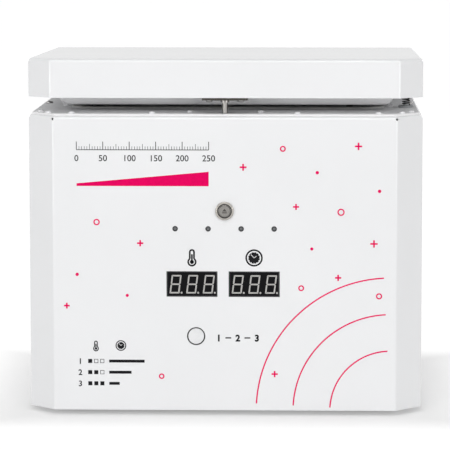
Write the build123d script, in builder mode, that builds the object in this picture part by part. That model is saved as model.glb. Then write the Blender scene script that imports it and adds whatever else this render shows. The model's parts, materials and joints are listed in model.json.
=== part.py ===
"""Bench-top dry heat sterilizer: a folded case with a heated chamber under a flat, rear-hinged lid.

Millimetres. +Z is up, the front faces -Y and +X is to the right of someone facing the front. The origin is
on the bench, under the middle of the whole. The lid's pieces are drawn closed and then turned about the
hinge pins to their resting gap, where the pop-up spring holds the lid when its latch is free.
"""

import os

from build123d import *

# Case and covers
width = 300.0
depth = 240.0
foot_height = 4.0
case_height = 224.5
sheet = 1.2
case_chamfer = 20.0
side_bend = 2.5
top_bend = 3.0
top_flange = 12.0
base_flange = 14.0
plate_thickness = 1.5
panel_margin = 2.0

cover_inset = 2.5
fastener_inset = 7.0
foot_inset = 32.0
foot_radius = 8.5
foot_taper = 8.0
foot_recess_radius = 4.2
foot_recess = 2.6
foot_bore_radius = 2.1
relief_radius = 0.9
relief_drop = 2.2
vent_width = 4.0
vent_pitch = 9.0

# Chamber
chamber_side_space = 37.0
chamber_front_space = 69.5
chamber_to_back = 24.5
chamber_height = 89.5
chamber_corner = 10.0
chamber_bottom_radius = 6.0
tank_wall = 1.0
tank_lip = 19.0
tank_end_lip = 11.0
gasket_width = 8.0
gasket_height = 2.3
gasket_margin = 1.0
heater_thickness = 1.5
heater_space = 2.0
insulation_thickness = 16.0
jacket_corner = 6.0
shield_sheet = 0.8
probe_radius = 2.5
probe_rise = 12.0
probe_insertion = 7.0
probe_nut_radius = 6.0
cutout_radius = 8.0
cutout_body_radius = 6.0
cutout_rise = 50.0
cutout_flange = 6.0
cutout_body = 2.5

# Tray
tray_margin = 9.0
tray_height = 18.0
tray_sheet = 1.0
tray_corner = 2.5
tray_slot_length = 10.0
tray_slot_width = 4.0
tray_slot_pitch = 16.0
tray_row_pitch = 11.0
handle_width = 50.0
handle_rise = 22.0
handle_overlap = 4.0
handle_slot_width = 34.0
handle_slot_height = 10.0

# Lid
lid_height = 29.5
lid_chamfer = 18.0
lid_gap = 8.0
lid_rest_angle = 1.0
lid_rim = 17.0
lid_rear_rim = 6.0
lid_window_corner = 4.0
pan_overlap = 15.5
pan_front = 30.0
pan_back = 8.0
pan_drop = 7.0
pan_sheet = 0.8
pan_corner = 12.0
pan_bottom_radius = 7.0
lid_filling_margin = 17.0
lid_filling_rear_margin = 11.0
lid_filling_corner = 5.0

# Hinges
hinge_spacing = 170.0
hinge_width = 56.0
knuckle_radius = 4.0
hinge_pin_radius = 2.0
leaf_thickness = 2.0
lid_knuckle_width = 20.0
case_knuckle_width = 14.0
cheek_width = 3.0
cheek_reach = 18.0
leaf_height = 22.0
leaf_clearance = 7.5
hinge_screw_spacing = 24.0

# Latch
latch_setback = 11.0
latch_pin_radius = 2.0
latch_pin_length = 28.0
latch_groove_radius = 1.3
latch_groove_start = 1.0
bolt_thickness = 2.2
bolt_travel = 5.0
bolt_rod_radius = 2.5
bolt_width = 7.0
bolt_nose = 0.6
collar_radius = 3.8
collar_thickness = 1.0
bolt_spring_radius = 3.2
bolt_spring_wire = 0.3
bolt_spring_turns = 4
latch_hole_radius = 3.5
housing_width = 64.0
housing_depth = 13.8
housing_room = 4.0
housing_ledge = 7.0
solenoid_length = 16.5
solenoid_width = 11.0
solenoid_space = 6.0
sensor_length = 16.0
sensor_width = 6.4
sensor_height = 9.0
striker_width = 34.5
striker_depth = 16.0
striker_thickness = 2.0

# Pop-up spring, on the right only
spring_inset = 11.0
spring_setback = 75.0
spring_radius = 3.3
spring_wire = 0.9
spring_turns = 4.5
spring_height = 7.5
seat_radius = 6.0
seat_thickness = 1.6
seat_pin_height = 4.5
cup_flats = 11.5
cup_radius = 4.7
cup_bore_radius = 3.8
cup_head = 3.0
cup_depth = 6.0

# Front panel
button_height = 156.7
button_bezel_radius = 7.0
button_thread_radius = 5.9
button_cap_radius = 4.8
bezel_thickness = 1.6
button_stand = 1.9
button_body = 22.0
button_cap_length = 9.5
button_nut_flats = 15.0
button_nut_height = 2.5
tag_thickness = 0.8
tag_width = 2.8
tag_length = 6.0
tag_spacing = 6.0
lamp_height = 143.1
lamp_pitch = 25.0
lamp_radius = 2.0
display_height = 100.9
display_spacing = 47.2
display_offset = -1.2
display_width = 37.7
display_tall = 19.0
display_deep = 8.0
display_recess = 0.4
key_height = 60.9
key_offset = -21.7
key_hole_radius = 6.95
key_radius = 5.95
key_travel = 0.6
key_stem_radius = 2.5
key_flange = 2.0
key_switch_size = 12.0
key_switch_height = 3.5
board_width = 130.0
board_low = 48.0
board_high = 147.5
board_thickness = 1.6
board_corner = 2.0
board_hole_inset = 5.0
board_hole_radius = 1.6
standoff_radius = 3.2

# Power parts on the floor
power_board_depth = 96.0
power_side_space = 23.0
power_setback = 20.0
standoff_height = 8.0
transformer_width = 44.0
transformer_depth = 38.0
transformer_height = 30.0
winding_width = 30.0
winding_depth = 50.0
winding_height = 15.0
relay_width = 20.0
relay_depth = 16.0
relay_height = 15.0
terminal_pitch = 10.0
terminal_count = 6
terminal_depth = 12.0
terminal_height = 14.0
sink_side_space = 25.0
sink_depth = 60.0
sink_base = 5.0
sink_fin = 1.6
sink_fin_pitch = 5.0
sink_fin_height = 22.0
module_width = 45.0
module_depth = 58.0
module_height = 22.0

# Rear panel parts
inlet_inset = 55.0
inlet_body = (27.0, 20.0, 22.0)
inlet_flange = (50.0, 24.0, 2.2)
inlet_mouth = (24.0, 16.5, 18.0)
inlet_screw_spacing = 40.0
blade_length = 14.0
switch_inset = 105.0
switch_body = (13.0, 19.0, 18.0)
switch_flange = (15.5, 21.5, 1.8)
switch_mouth = (9.8, 16.8, 9.5)
rocker_width = 9.2
rocker_pivot_radius = 1.5
rocker_pivot_depth = 1.5
rocker_tilt = 9.0
rear_parts_height = 40.0

# Fits
slide_gap = 0.3
seat_gap = 0.2
running_gap = 0.05

# Fasteners
rivet_radius = 2.3
rivet_height = 1.5
rivet_shank = 1.6
screw_radius = 2.8
screw_head = 1.7
screw_shank = 1.5
screw_edge = 0.8
hole_gap = 0.1

half_width = width / 2
front_y = button_stand - (depth + button_stand + cheek_reach) / 2
back_y = front_y + depth
case_y = (front_y + back_y) / 2
shell_back_y = back_y - sheet
case_base = foot_height
case_top = case_base + case_height
plate_top = case_top + plate_thickness
floor_top = case_base + 2 * sheet

chamber_width = width - 2 * chamber_side_space
chamber_depth = depth - chamber_front_space - chamber_to_back
chamber_y = back_y - chamber_to_back - chamber_depth / 2
tank_top = case_top
tank_floor = tank_top - chamber_height
gasket_outer = gasket_width + gasket_margin

pan_width = chamber_width + 2 * pan_overlap
lid_base = plate_top + lid_gap
lid_top = lid_base + lid_height
pan_seat = lid_base + sheet
pan_bottom = lid_base - pan_drop

hinge_y = back_y + knuckle_radius
hinge_z = (plate_top + lid_base) / 2
hinge_line = Axis((0, hinge_y, hinge_z), (1, 0, 0))

latch_y = front_y + latch_setback
latch_tip = lid_base - latch_pin_length
spring_x = half_width - spring_inset
spring_y = front_y + spring_setback

panel_back_y = front_y + sheet
board_y = front_y + display_recess + display_deep
inlet_x = half_width - inlet_inset
switch_x = half_width - switch_inset


def facing_front(y):
    """The upright plane at y whose normal looks out of the front panel."""
    return Plane.XZ.offset(-y)


def facing_right(x):
    """The upright plane at x whose normal points to the right."""
    return Plane.YZ.offset(x)


def cover_outline(front, back, corner, bend, inset=0):
    """Draw a cover seen from above: square at the rear, its two front corners cut off."""
    with Locations((0, (front + back) / 2)):
        Rectangle(width, back - front)
    chamfer(vertices().group_by(Axis.Y)[0], corner)
    fillet([v for v in vertices() if v.Y < back - bend], bend)
    if inset:
        offset(amount=-inset)


def bent_block(back, low, high, corner, inset, bend):
    """The solid inside a folded cover, with its upper edges bent over."""
    with BuildPart() as block:
        with BuildSketch(Plane.XY.offset(low)):
            cover_outline(front_y, back, corner, side_bend, inset)
        extrude(amount=high - low)
        fillet(block.faces().sort_by(Axis.Z)[-1].edges(), bend)
    return block.part


def rounded_block(size_x, size_y, middle_y, low, high, corner):
    """A loose block with rounded upright corners, which the caller adds to a part or cuts from one."""
    with BuildSketch(Plane.XY.offset(low), mode=Mode.PRIVATE) as outline:
        with Locations((0, middle_y)):
            RectangleRounded(size_x, size_y, corner)
    return extrude(outline.sketch, amount=high - low, mode=Mode.PRIVATE)


def drawn_block(size_x, size_y, middle_y, low, high, corner, low_radius):
    """A loose block like a drawn pan: its upright corners and the edges of its floor are rounded."""
    with BuildPart(mode=Mode.PRIVATE) as block:
        add(rounded_block(size_x, size_y, middle_y, low, high, corner))
        fillet(block.faces().sort_by(Axis.Z)[0].edges(), low_radius)
    return block.part


def pin(plane, places, radius, length, mode=Mode.ADD):
    """Round bars or holes along the plane's normal, one at each place."""
    with BuildSketch(plane) as rounds:
        with Locations(*places):
            Circle(radius)
    extrude(rounds.sketch, amount=length, mode=mode)


def slab(plane, places, size_x, size_y, thickness, mode=Mode.ADD):
    """Square-cornered plates or pockets, one at each place."""
    with BuildSketch(plane) as plates:
        with Locations(*places):
            Rectangle(size_x, size_y)
    extrude(plates.sketch, amount=thickness, mode=mode)


# Places that several pieces share

row_rivets = [(x, front_y + 7) for x in (-116, -55, 55, 116)]
housing_rivets = [(side * (housing_width / 2 - 5), front_y + 20.5) for side in (-1, 1)]
corner_rivets = [(side * (half_width - x), front_y + t) for side in (-1, 1) for x, t in ((16, 12), (9, 24))]
tank_rivets = [(side * (chamber_width / 2 + 14), chamber_y + y) for side in (-1, 1) for y in (-57.5, 40)]
plate_rivets = row_rivets + housing_rivets + corner_rivets + tank_rivets
edge_x = half_width - fastener_inset
side_screws = [(side * edge_x, back_y - t) for side in (-1, 1) for t in (35, 129)]
base_screws = [(side * edge_x, case_y + y) for side in (-1, 1) for y in (-depth / 3, 0, depth / 3)]
foot_places = [
    (sx * (half_width - foot_inset - 2), case_y + sy * (depth / 2 - foot_inset))
    for sx in (-1, 1)
    for sy in (-1, 1)
]
rear_edge_screws = [(side * (half_width - 8), z) for side in (-1, 1) for z in (14, 84, 154)]
leaf_places = [-hinge_spacing / 2, hinge_spacing / 2]
leaf_screws_x = [x + side * hinge_screw_spacing / 2 for x in leaf_places for side in (-1, 1)]
hinge_screws = [(x, case_top - 8) for x in leaf_screws_x]
lid_hinge_screws = [(x, hinge_z + 16) for x in leaf_screws_x]
inlet_screws = [(inlet_x + side * inlet_screw_spacing / 2, rear_parts_height) for side in (-1, 1)]
rear_screws = rear_edge_screws + hinge_screws
striker_screws = [(-12, latch_y), (12, latch_y)]
lamp_places = [(lamp_pitch * (i - 1.5), lamp_height) for i in range(4)]
display_places = [(display_offset + side * display_spacing / 2, display_height) for side in (-1, 1)]
button_place = [(0, button_height)]
key_place = [(key_offset, key_height)]
display_standoff_places = [
    (side * (board_width / 2 - board_hole_inset), z)
    for side in (-1, 1)
    for z in (board_low + board_hole_inset, board_high - board_hole_inset)
]
power_board_width = width / 2
power_x = -half_width + power_side_space + power_board_width / 2
power_y = case_y - power_setback
power_standoff_places = [
    (
        power_x + sx * (power_board_width / 2 - board_hole_inset),
        power_y + sy * (power_board_depth / 2 - board_hole_inset),
    )
    for sx in (-1, 1)
    for sy in (-1, 1)
]
screw_hole = screw_shank + hole_gap
rivet_hole = rivet_shank + hole_gap

# Case shell: front, sides and turned-in flanges, folded from one sheet

case_hollow = bent_block(
    shell_back_y, case_base + sheet, case_top - sheet, case_chamfer, sheet, top_bend - sheet
)

with BuildPart() as case_shell:
    add(bent_block(shell_back_y, case_base, case_top, case_chamfer, 0, top_bend))
    add(case_hollow, mode=Mode.SUBTRACT)
    with BuildSketch(Plane.XY.offset(case_top - sheet)):
        cover_outline(front_y, shell_back_y, case_chamfer, side_bend, top_flange)
        with Locations((0, front_y + top_flange)):
            Rectangle(housing_width + 2, 2 * (top_flange - 4))
    extrude(amount=sheet, mode=Mode.SUBTRACT)
    with BuildSketch(Plane.XY.offset(case_base)):
        cover_outline(front_y, shell_back_y, case_chamfer, side_bend, base_flange)
    extrude(amount=sheet, mode=Mode.SUBTRACT)
    slab(
        facing_front(shell_back_y - sheet),
        [(0, (case_base + case_top) / 2)],
        width - 2 * base_flange,
        case_height - 2 * base_flange,
        -sheet,
        Mode.SUBTRACT,
    )
    front_cut = facing_front(front_y + 2 * sheet)
    pin(front_cut, button_place, button_thread_radius + hole_gap, 3 * sheet, Mode.SUBTRACT)
    pin(front_cut, lamp_places, lamp_radius + hole_gap, 3 * sheet, Mode.SUBTRACT)
    pin(front_cut, key_place, key_hole_radius, 3 * sheet, Mode.SUBTRACT)
    slab(front_cut, display_places, display_width + 1, display_tall + 0.5, 3 * sheet, Mode.SUBTRACT)
    relief_places = [(side * (half_width - case_chamfer), case_top - relief_drop) for side in (-1, 1)]
    pin(front_cut, relief_places, relief_radius, 3 * sheet, Mode.SUBTRACT)
    flange_cut = Plane.XY.offset(case_top - 2 * sheet)
    pin(flange_cut, plate_rivets, rivet_hole, 3 * sheet, Mode.SUBTRACT)
    pin(flange_cut, side_screws, screw_hole, 3 * sheet, Mode.SUBTRACT)
    pin(Plane.XY.offset(case_base - sheet), base_screws, screw_hole, 3 * sheet, Mode.SUBTRACT)
    pin(facing_front(shell_back_y + sheet), rear_screws, screw_hole, 3 * sheet, Mode.SUBTRACT)

with BuildPart() as bottom_plate:
    with BuildSketch(Plane.XY.offset(case_base + sheet)):
        cover_outline(front_y, shell_back_y, case_chamfer, side_bend, cover_inset + sheet)
        with Locations((0, case_y)):
            with GridLocations(24, 14, 9, 3):
                SlotOverall(16, 3.5, mode=Mode.SUBTRACT)
        with Locations(*base_screws):
            Circle(screw_hole, mode=Mode.SUBTRACT)
        with Locations(*foot_places):
            Circle(foot_bore_radius, mode=Mode.SUBTRACT)
    extrude(amount=sheet)

with BuildPart() as back_panel:
    with BuildSketch(facing_front(back_y)):
        with Locations((0, (case_base + case_top) / 2)):
            RectangleRounded(width - 2 * panel_margin, case_height - 2 * panel_margin, 4)
        with Locations(*rear_screws, *inlet_screws):
            Circle(screw_hole, mode=Mode.SUBTRACT)
        with Locations((inlet_x, rear_parts_height)):
            Rectangle(inlet_body[0] + 0.4, inlet_body[1] + 0.4, mode=Mode.SUBTRACT)
        with Locations((switch_x, rear_parts_height)):
            Rectangle(switch_body[0] + 0.4, switch_body[1] + 0.4, mode=Mode.SUBTRACT)
        for side in (-1, 1):
            with Locations((side * 62, 112)):
                with GridLocations(0, vent_pitch, 1, 8):
                    SlotOverall(86, vent_width, mode=Mode.SUBTRACT)
    extrude(amount=sheet)

with BuildPart() as top_plate:
    with BuildSketch(Plane.XY.offset(case_top)):
        cover_outline(front_y, shell_back_y, case_chamfer, side_bend, cover_inset)
        with Locations((0, chamber_y)):
            RectangleRounded(
                chamber_width + 2 * (gasket_outer + slide_gap),
                chamber_depth + 2 * (gasket_outer + slide_gap),
                chamber_corner + gasket_outer,
                mode=Mode.SUBTRACT,
            )
        with Locations((0, latch_y)):
            Circle(latch_hole_radius, mode=Mode.SUBTRACT)
        with Locations(*plate_rivets):
            Circle(rivet_hole, mode=Mode.SUBTRACT)
        with Locations(*side_screws):
            Circle(screw_hole, mode=Mode.SUBTRACT)
    extrude(amount=plate_thickness)
    fillet(top_plate.faces().sort_by(Axis.Z)[-1].outer_wire().edges(), 0.5)

with BuildPart() as plate_rivets_group:
    pin(Plane.XY.offset(plate_top), plate_rivets, rivet_radius, rivet_height)
    fillet(plate_rivets_group.faces().group_by(Axis.Z)[-1].edges(), 0.9 * rivet_height)
    pin(Plane.XY.offset(plate_top), plate_rivets, rivet_shank, -plate_thickness - sheet - 1)

with BuildPart() as side_screws_group:
    pin(Plane.XY.offset(plate_top), side_screws, screw_radius, screw_head)
    fillet(side_screws_group.faces().group_by(Axis.Z)[-1].edges(), 0.9 * screw_head)
    pin(Plane.XY.offset(plate_top), side_screws, screw_shank, -plate_thickness - sheet - 4)

# Feet and the screws that hold the covers

with BuildPart() as rubber_feet:
    with BuildSketch(Plane.XY) as foot_soles:
        with Locations(*foot_places):
            Circle(foot_radius)
    for sole in foot_soles.sketch.faces():
        extrude(sole, amount=case_base + sheet, taper=-foot_taper)
    fillet(rubber_feet.faces().group_by(Axis.Z)[0].edges(), 0.8)
    pin(Plane.XY, foot_places, foot_recess_radius, foot_recess, Mode.SUBTRACT)
    pin(Plane.XY, foot_places, foot_bore_radius, case_base + sheet, Mode.SUBTRACT)

with BuildPart() as foot_screws:
    foot_head = 1.8
    pin(Plane.XY.offset(foot_recess - foot_head), foot_places, foot_recess_radius - 0.6, foot_head)
    fillet(foot_screws.faces().group_by(Axis.Z)[0].edges(), screw_edge + 0.1)
    pin(Plane.XY.offset(foot_recess), foot_places, foot_bore_radius - hole_gap, floor_top + 2 - foot_recess)

with BuildPart() as bottom_screws:
    pin(Plane.XY.offset(case_base), base_screws, screw_radius, -screw_head)
    fillet(bottom_screws.faces().group_by(Axis.Z)[0].edges(), screw_edge)
    pin(Plane.XY.offset(case_base), base_screws, screw_shank, 2 * sheet + 2)

with BuildPart() as rear_screws_group:
    rear_seats = {
        back_y: rear_edge_screws,
        back_y + leaf_thickness: hinge_screws,
        back_y + inlet_flange[2]: inlet_screws,
    }
    for seat_y, places in rear_seats.items():
        pin(facing_front(seat_y), places, screw_radius, -screw_head)
    fillet(rear_screws_group.faces().filter_by(Axis.Y).edges().group_by(Axis.Y)[-1], screw_edge)
    for seat_y, places in rear_seats.items():
        pin(facing_front(seat_y), places, screw_shank, seat_y - back_y + 2 * sheet + 2)

# Chamber

tank_hollow = drawn_block(
    chamber_width, chamber_depth, chamber_y, tank_floor, tank_top, chamber_corner,
    chamber_bottom_radius - tank_wall,
)

with BuildPart() as chamber_tank:
    add(drawn_block(
        chamber_width + 2 * tank_wall, chamber_depth + 2 * tank_wall, chamber_y,
        tank_floor - tank_wall, tank_top, chamber_corner + tank_wall, chamber_bottom_radius,
    ))
    add(rounded_block(
        chamber_width + 2 * tank_lip, chamber_depth + 2 * tank_end_lip, chamber_y,
        tank_top - tank_wall, tank_top, 6,
    ))
    add(tank_hollow, mode=Mode.SUBTRACT)
    probe_place = [(-60, tank_floor + probe_rise)]
    pin(facing_front(chamber_y), probe_place, probe_radius + hole_gap, chamber_depth / 2 + 3, Mode.SUBTRACT)
    pin(Plane.XY.offset(tank_top - 2), tank_rivets, rivet_hole, 4, Mode.SUBTRACT)

with BuildPart() as chamber_gasket:
    with BuildSketch(Plane.XY.offset(tank_top)):
        with Locations((0, chamber_y)):
            RectangleRounded(
                chamber_width + 2 * gasket_outer, chamber_depth + 2 * gasket_outer,
                chamber_corner + gasket_outer,
            )
            RectangleRounded(
                chamber_width + 2 * gasket_margin, chamber_depth + 2 * gasket_margin,
                chamber_corner + gasket_margin, mode=Mode.SUBTRACT,
            )
    extrude(amount=gasket_height)
    fillet(chamber_gasket.faces().sort_by(Axis.Z)[-1].edges(), 0.8)

heater_room = tank_wall + heater_space
inner_width = chamber_width + 2 * heater_room
inner_depth = chamber_depth + 2 * heater_room
jacket_width = inner_width + 2 * insulation_thickness
jacket_depth = inner_depth + 2 * insulation_thickness
jacket_top = case_top - sheet - seat_gap
jacket_low = tank_floor - heater_room - insulation_thickness
jacket_front_y = chamber_y - jacket_depth / 2
tank_front_y = chamber_y - chamber_depth / 2
cutout_place = [(40, tank_floor + cutout_rise)]

with BuildPart() as chamber_insulation:
    add(rounded_block(jacket_width, jacket_depth, chamber_y, jacket_low, jacket_top, jacket_corner))
    add(rounded_block(
        inner_width, inner_depth, chamber_y, tank_floor - heater_room, jacket_top, chamber_corner + 3,
    ), mode=Mode.SUBTRACT)
    pin(facing_front(tank_front_y), probe_place, probe_radius + 0.3, jacket_depth / 2, Mode.SUBTRACT)
    cutout_room = heater_room + cutout_flange + 3
    pin(facing_front(tank_front_y), cutout_place, cutout_radius + 0.3, cutout_room, Mode.SUBTRACT)
    pin(Plane.XY.offset(jacket_top), tank_rivets, rivet_shank + 0.8, -2, Mode.SUBTRACT)

with BuildPart() as heat_shield:
    add(rounded_block(
        jacket_width + 2 * shield_sheet, jacket_depth + 2 * shield_sheet, chamber_y,
        jacket_low - shield_sheet, jacket_top, jacket_corner + shield_sheet,
    ))
    add(rounded_block(
        jacket_width, jacket_depth, chamber_y, jacket_low, jacket_top, jacket_corner,
    ), mode=Mode.SUBTRACT)
    pin(facing_front(tank_front_y), probe_place, probe_radius + 0.3, jacket_depth / 2, Mode.SUBTRACT)

with BuildPart() as heater_pads:
    pad_x = chamber_width / 2 + tank_wall
    pad_middle = [(chamber_y, tank_floor + chamber_height / 2)]
    slab(
        Plane.XY.offset(tank_floor - tank_wall), [(0, chamber_y)],
        chamber_width - 30, chamber_depth - 30, -heater_thickness,
    )
    for side in (-1, 1):
        slab(
            facing_right(side * pad_x), pad_middle,
            chamber_depth - 40, chamber_height - 25, side * heater_thickness,
        )

with BuildPart() as temperature_probe:
    probe_tip_y = tank_front_y + probe_insertion
    shield_front_y = jacket_front_y - shield_sheet
    pin(facing_front(probe_tip_y), probe_place, probe_radius, probe_tip_y - shield_front_y + 10)
    fillet(temperature_probe.faces().sort_by(Axis.Y)[-1].edges(), 1.5)
    with BuildSketch(facing_front(shield_front_y)):
        with Locations(*probe_place):
            RegularPolygon(probe_nut_radius, 6)
    extrude(amount=4)

with BuildPart() as thermal_cutout:
    cutout_y = tank_front_y - tank_wall
    pin(facing_front(cutout_y), cutout_place, cutout_radius, cutout_flange)
    pin(facing_front(cutout_y - cutout_flange), cutout_place, cutout_body_radius, cutout_body)
    cutout_tags = [(x + side * tag_spacing / 2, z) for x, z in cutout_place for side in (-1, 1)]
    slab(facing_front(cutout_y - cutout_flange - cutout_body), cutout_tags, tag_thickness, 4, 1.5)

# Instrument tray

tray_low = tank_floor + slide_gap
tray_top = tray_low + tray_height
tray_width = chamber_width - 2 * tray_margin
tray_depth = chamber_depth - 2 * tray_margin

with BuildPart() as instrument_tray:
    add(rounded_block(tray_width, tray_depth, chamber_y, tray_low, tray_top, tray_corner))
    add(rounded_block(
        tray_width - 2 * tray_sheet, tray_depth - 2 * tray_sheet, chamber_y,
        tray_low + tray_sheet, tray_top, tray_corner - tray_sheet,
    ), mode=Mode.SUBTRACT)
    slot_columns = int((tray_width - tray_slot_pitch) / tray_slot_pitch)
    slot_rows = int((tray_depth - tray_slot_pitch) / tray_row_pitch)
    with BuildSketch(Plane.XY.offset(tray_low)):
        with Locations((0, chamber_y)):
            with GridLocations(tray_slot_pitch, tray_row_pitch, slot_columns, slot_rows):
                SlotOverall(tray_slot_length, tray_slot_width)
    extrude(amount=tray_sheet, mode=Mode.SUBTRACT)
    for side in (-1, 1):
        wall_x = side * (tray_width / 2 - tray_sheet / 2) - tray_sheet / 2
        with BuildSketch(facing_right(wall_x)):
            with Locations((chamber_y, tray_top + (handle_rise - handle_overlap) / 2)):
                Rectangle(handle_width, handle_rise + handle_overlap)
                Rectangle(handle_slot_width, handle_slot_height, mode=Mode.SUBTRACT)
            fillet(vertices().group_by(Axis.Y)[-1], 4)
        extrude(amount=tray_sheet)

# Latch, under the top plate

housing_low = latch_tip - housing_room
housing_height = case_top - housing_low
inside_low = housing_low + sheet
inside_high = case_top - sheet
bolt_z = latch_tip + latch_groove_start + 0.3 + bolt_thickness / 2
bolt_centre = [(latch_y, bolt_z)]
collar_x = bolt_travel + latch_pin_radius + 0.8
solenoid_x = collar_x + collar_thickness + solenoid_space

with BuildPart() as latch_housing:
    slab(
        Plane.XY.offset(case_top), [(0, latch_y + housing_ledge / 2)],
        housing_width, housing_depth + housing_ledge, -sheet,
    )
    slab(Plane.XY.offset(case_top), [(0, latch_y)], housing_width, housing_depth, -housing_height)
    slab(
        facing_right(-half_width), [(latch_y, (inside_low + inside_high) / 2)],
        housing_depth - 2 * sheet, inside_high - inside_low, width, Mode.SUBTRACT,
    )
    pin(Plane.XY.offset(case_top), [(0, latch_y)], latch_hole_radius, -sheet, Mode.SUBTRACT)
    pin(Plane.XY.offset(case_top), housing_rivets, rivet_hole, -sheet, Mode.SUBTRACT)

with BuildPart() as latch_solenoid:
    solenoid_face = facing_right(solenoid_x)
    slab(solenoid_face, bolt_centre, solenoid_width, 2 * (bolt_z - inside_low), solenoid_length)
    fillet(latch_solenoid.edges().filter_by(Axis.X), 1)
    pin(solenoid_face, bolt_centre, bolt_rod_radius + running_gap, solenoid_length, Mode.SUBTRACT)

with BuildPart() as latch_bolt:
    fork_tip = latch_pin_radius + bolt_nose
    fork_gap = latch_groove_radius + 0.2
    with BuildSketch(Plane.XY.offset(bolt_z - bolt_thickness / 2)):
        with Locations(((fork_tip + collar_x) / 2, latch_y)):
            Rectangle(collar_x - fork_tip, bolt_width)
        fillet([v for v in vertices() if v.X < fork_tip + 0.1], 1)
        with Locations(((fork_tip + bolt_travel) / 2, latch_y)):
            Rectangle(bolt_travel - fork_tip, 2 * fork_gap, mode=Mode.SUBTRACT)
        with Locations((bolt_travel, latch_y)):
            Circle(fork_gap, mode=Mode.SUBTRACT)
    extrude(amount=bolt_thickness)
    rod_length = solenoid_x + solenoid_length - collar_x - 2
    pin(facing_right(collar_x), bolt_centre, collar_radius, collar_thickness)
    pin(facing_right(collar_x), bolt_centre, bolt_rod_radius, rod_length)

with BuildPart() as bolt_spring:
    bolt_spring_x = collar_x + collar_thickness + 0.4
    bolt_spring_length = solenoid_x - bolt_spring_x - 0.4
    with BuildLine():
        coil = Helix(
            bolt_spring_length / bolt_spring_turns, bolt_spring_length, bolt_spring_radius,
            center=(bolt_spring_x, latch_y, bolt_z), direction=(1, 0, 0),
        )
    with BuildSketch(Plane(origin=coil @ 0, z_dir=coil % 0)):
        Circle(bolt_spring_wire)
    sweep(is_frenet=True)

with BuildPart() as latch_sensor:
    sensor_x = -latch_hole_radius - 3 - sensor_length / 2
    slab(Plane.XY.offset(inside_low), [(sensor_x, latch_y)], sensor_length, sensor_width, sensor_height)
    fillet(latch_sensor.edges().filter_by(Axis.Z), 0.6)
    slab(Plane.XY.offset(inside_low + sensor_height), [(sensor_x + 1, latch_y)], sensor_length - 2, 3.2, 0.5)

# Pop-up spring between the top plate and the lid

spring_place = [(spring_x, spring_y)]

with BuildPart() as spring_seat:
    pin(Plane.XY.offset(plate_top), spring_place, seat_radius, seat_thickness)
    fillet(spring_seat.faces().sort_by(Axis.Z)[-1].edges(), 0.5)
    pin(Plane.XY.offset(plate_top), spring_place, spring_radius - spring_wire - 0.3, seat_pin_height)

with BuildPart() as pop_up_spring:
    with BuildLine():
        lift_coil = Helix(
            spring_height / spring_turns, spring_height, spring_radius - spring_wire / 2,
            center=(spring_x, spring_y, plate_top + seat_thickness + spring_wire / 2),
        )
    with BuildSketch(Plane(origin=lift_coil @ 0, z_dir=lift_coil % 0)):
        Circle(spring_wire / 2)
    sweep(is_frenet=True)

# Lid, drawn closed

lid_hollow = bent_block(
    back_y, lid_base + sheet, lid_top - sheet, lid_chamfer, sheet, top_bend - sheet
)

with BuildPart() as lid_shell:
    add(bent_block(back_y, lid_base, lid_top, lid_chamfer, 0, top_bend))
    add(lid_hollow, mode=Mode.SUBTRACT)
    add(rounded_block(
        width - 2 * lid_rim, depth - lid_rim - lid_rear_rim, (front_y + lid_rim + back_y - lid_rear_rim) / 2,
        lid_base, lid_base + sheet, lid_window_corner,
    ), mode=Mode.SUBTRACT)
    pin(facing_front(back_y + 1), lid_hinge_screws, screw_hole, 3 * sheet, Mode.SUBTRACT)
    pin(Plane.XY.offset(lid_base), striker_screws, screw_hole, sheet, Mode.SUBTRACT)
    pin(Plane.XY.offset(lid_base), [(0, latch_y)], latch_pin_radius + hole_gap, sheet, Mode.SUBTRACT)
    pin(Plane.XY.offset(lid_base), spring_place, cup_radius + hole_gap, sheet, Mode.SUBTRACT)

pan_depth = depth - pan_front - pan_back
pan_y = (front_y + pan_front + back_y - pan_back) / 2
pan_hollow = drawn_block(
    pan_width - 2 * pan_sheet, pan_depth - 2 * pan_sheet, pan_y, pan_bottom + pan_sheet,
    pan_seat + pan_sheet, pan_corner - pan_sheet, pan_bottom_radius - pan_sheet,
)

with BuildPart() as lid_pan:
    add(drawn_block(
        pan_width, pan_depth, pan_y, pan_bottom, pan_seat, pan_corner, pan_bottom_radius,
    ))
    with BuildSketch(Plane.XY.offset(pan_seat)):
        cover_outline(front_y, back_y, lid_chamfer, side_bend, sheet + slide_gap)
    extrude(amount=pan_sheet)
    add(pan_hollow, mode=Mode.SUBTRACT)
    pin(Plane.XY.offset(pan_seat), striker_screws, screw_hole, pan_sheet, Mode.SUBTRACT)
    pin(Plane.XY.offset(pan_seat), [(0, latch_y)], latch_pin_radius + hole_gap, pan_sheet, Mode.SUBTRACT)
    pin(Plane.XY.offset(pan_seat), spring_place, cup_radius + hole_gap, pan_sheet, Mode.SUBTRACT)

filling_low = pan_seat + pan_sheet
filling_front_y = front_y + lid_filling_margin
filling_back_y = back_y - lid_filling_rear_margin

with BuildPart() as lid_insulation:
    add(drawn_block(
        pan_width - 4 * pan_sheet, pan_depth - 4 * pan_sheet, pan_y, pan_bottom + pan_sheet,
        filling_low, pan_corner - 2 * pan_sheet, pan_bottom_radius,
    ))
    add(rounded_block(
        width - 2 * lid_filling_margin, filling_back_y - filling_front_y,
        (filling_front_y + filling_back_y) / 2, filling_low, lid_top - sheet, lid_filling_corner,
    ))

striker_face = Plane.XY.offset(lid_base - striker_thickness)

with BuildPart() as striker_bracket:
    slab(striker_face, [(0, latch_y)], striker_width, striker_depth, striker_thickness)
    fillet(striker_bracket.edges().filter_by(Axis.Z), 2)
    pin(striker_face, striker_screws, screw_hole, striker_thickness, Mode.SUBTRACT)
    pin(striker_face, [(0, latch_y)], latch_pin_radius + 0.02, striker_thickness, Mode.SUBTRACT)

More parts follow.
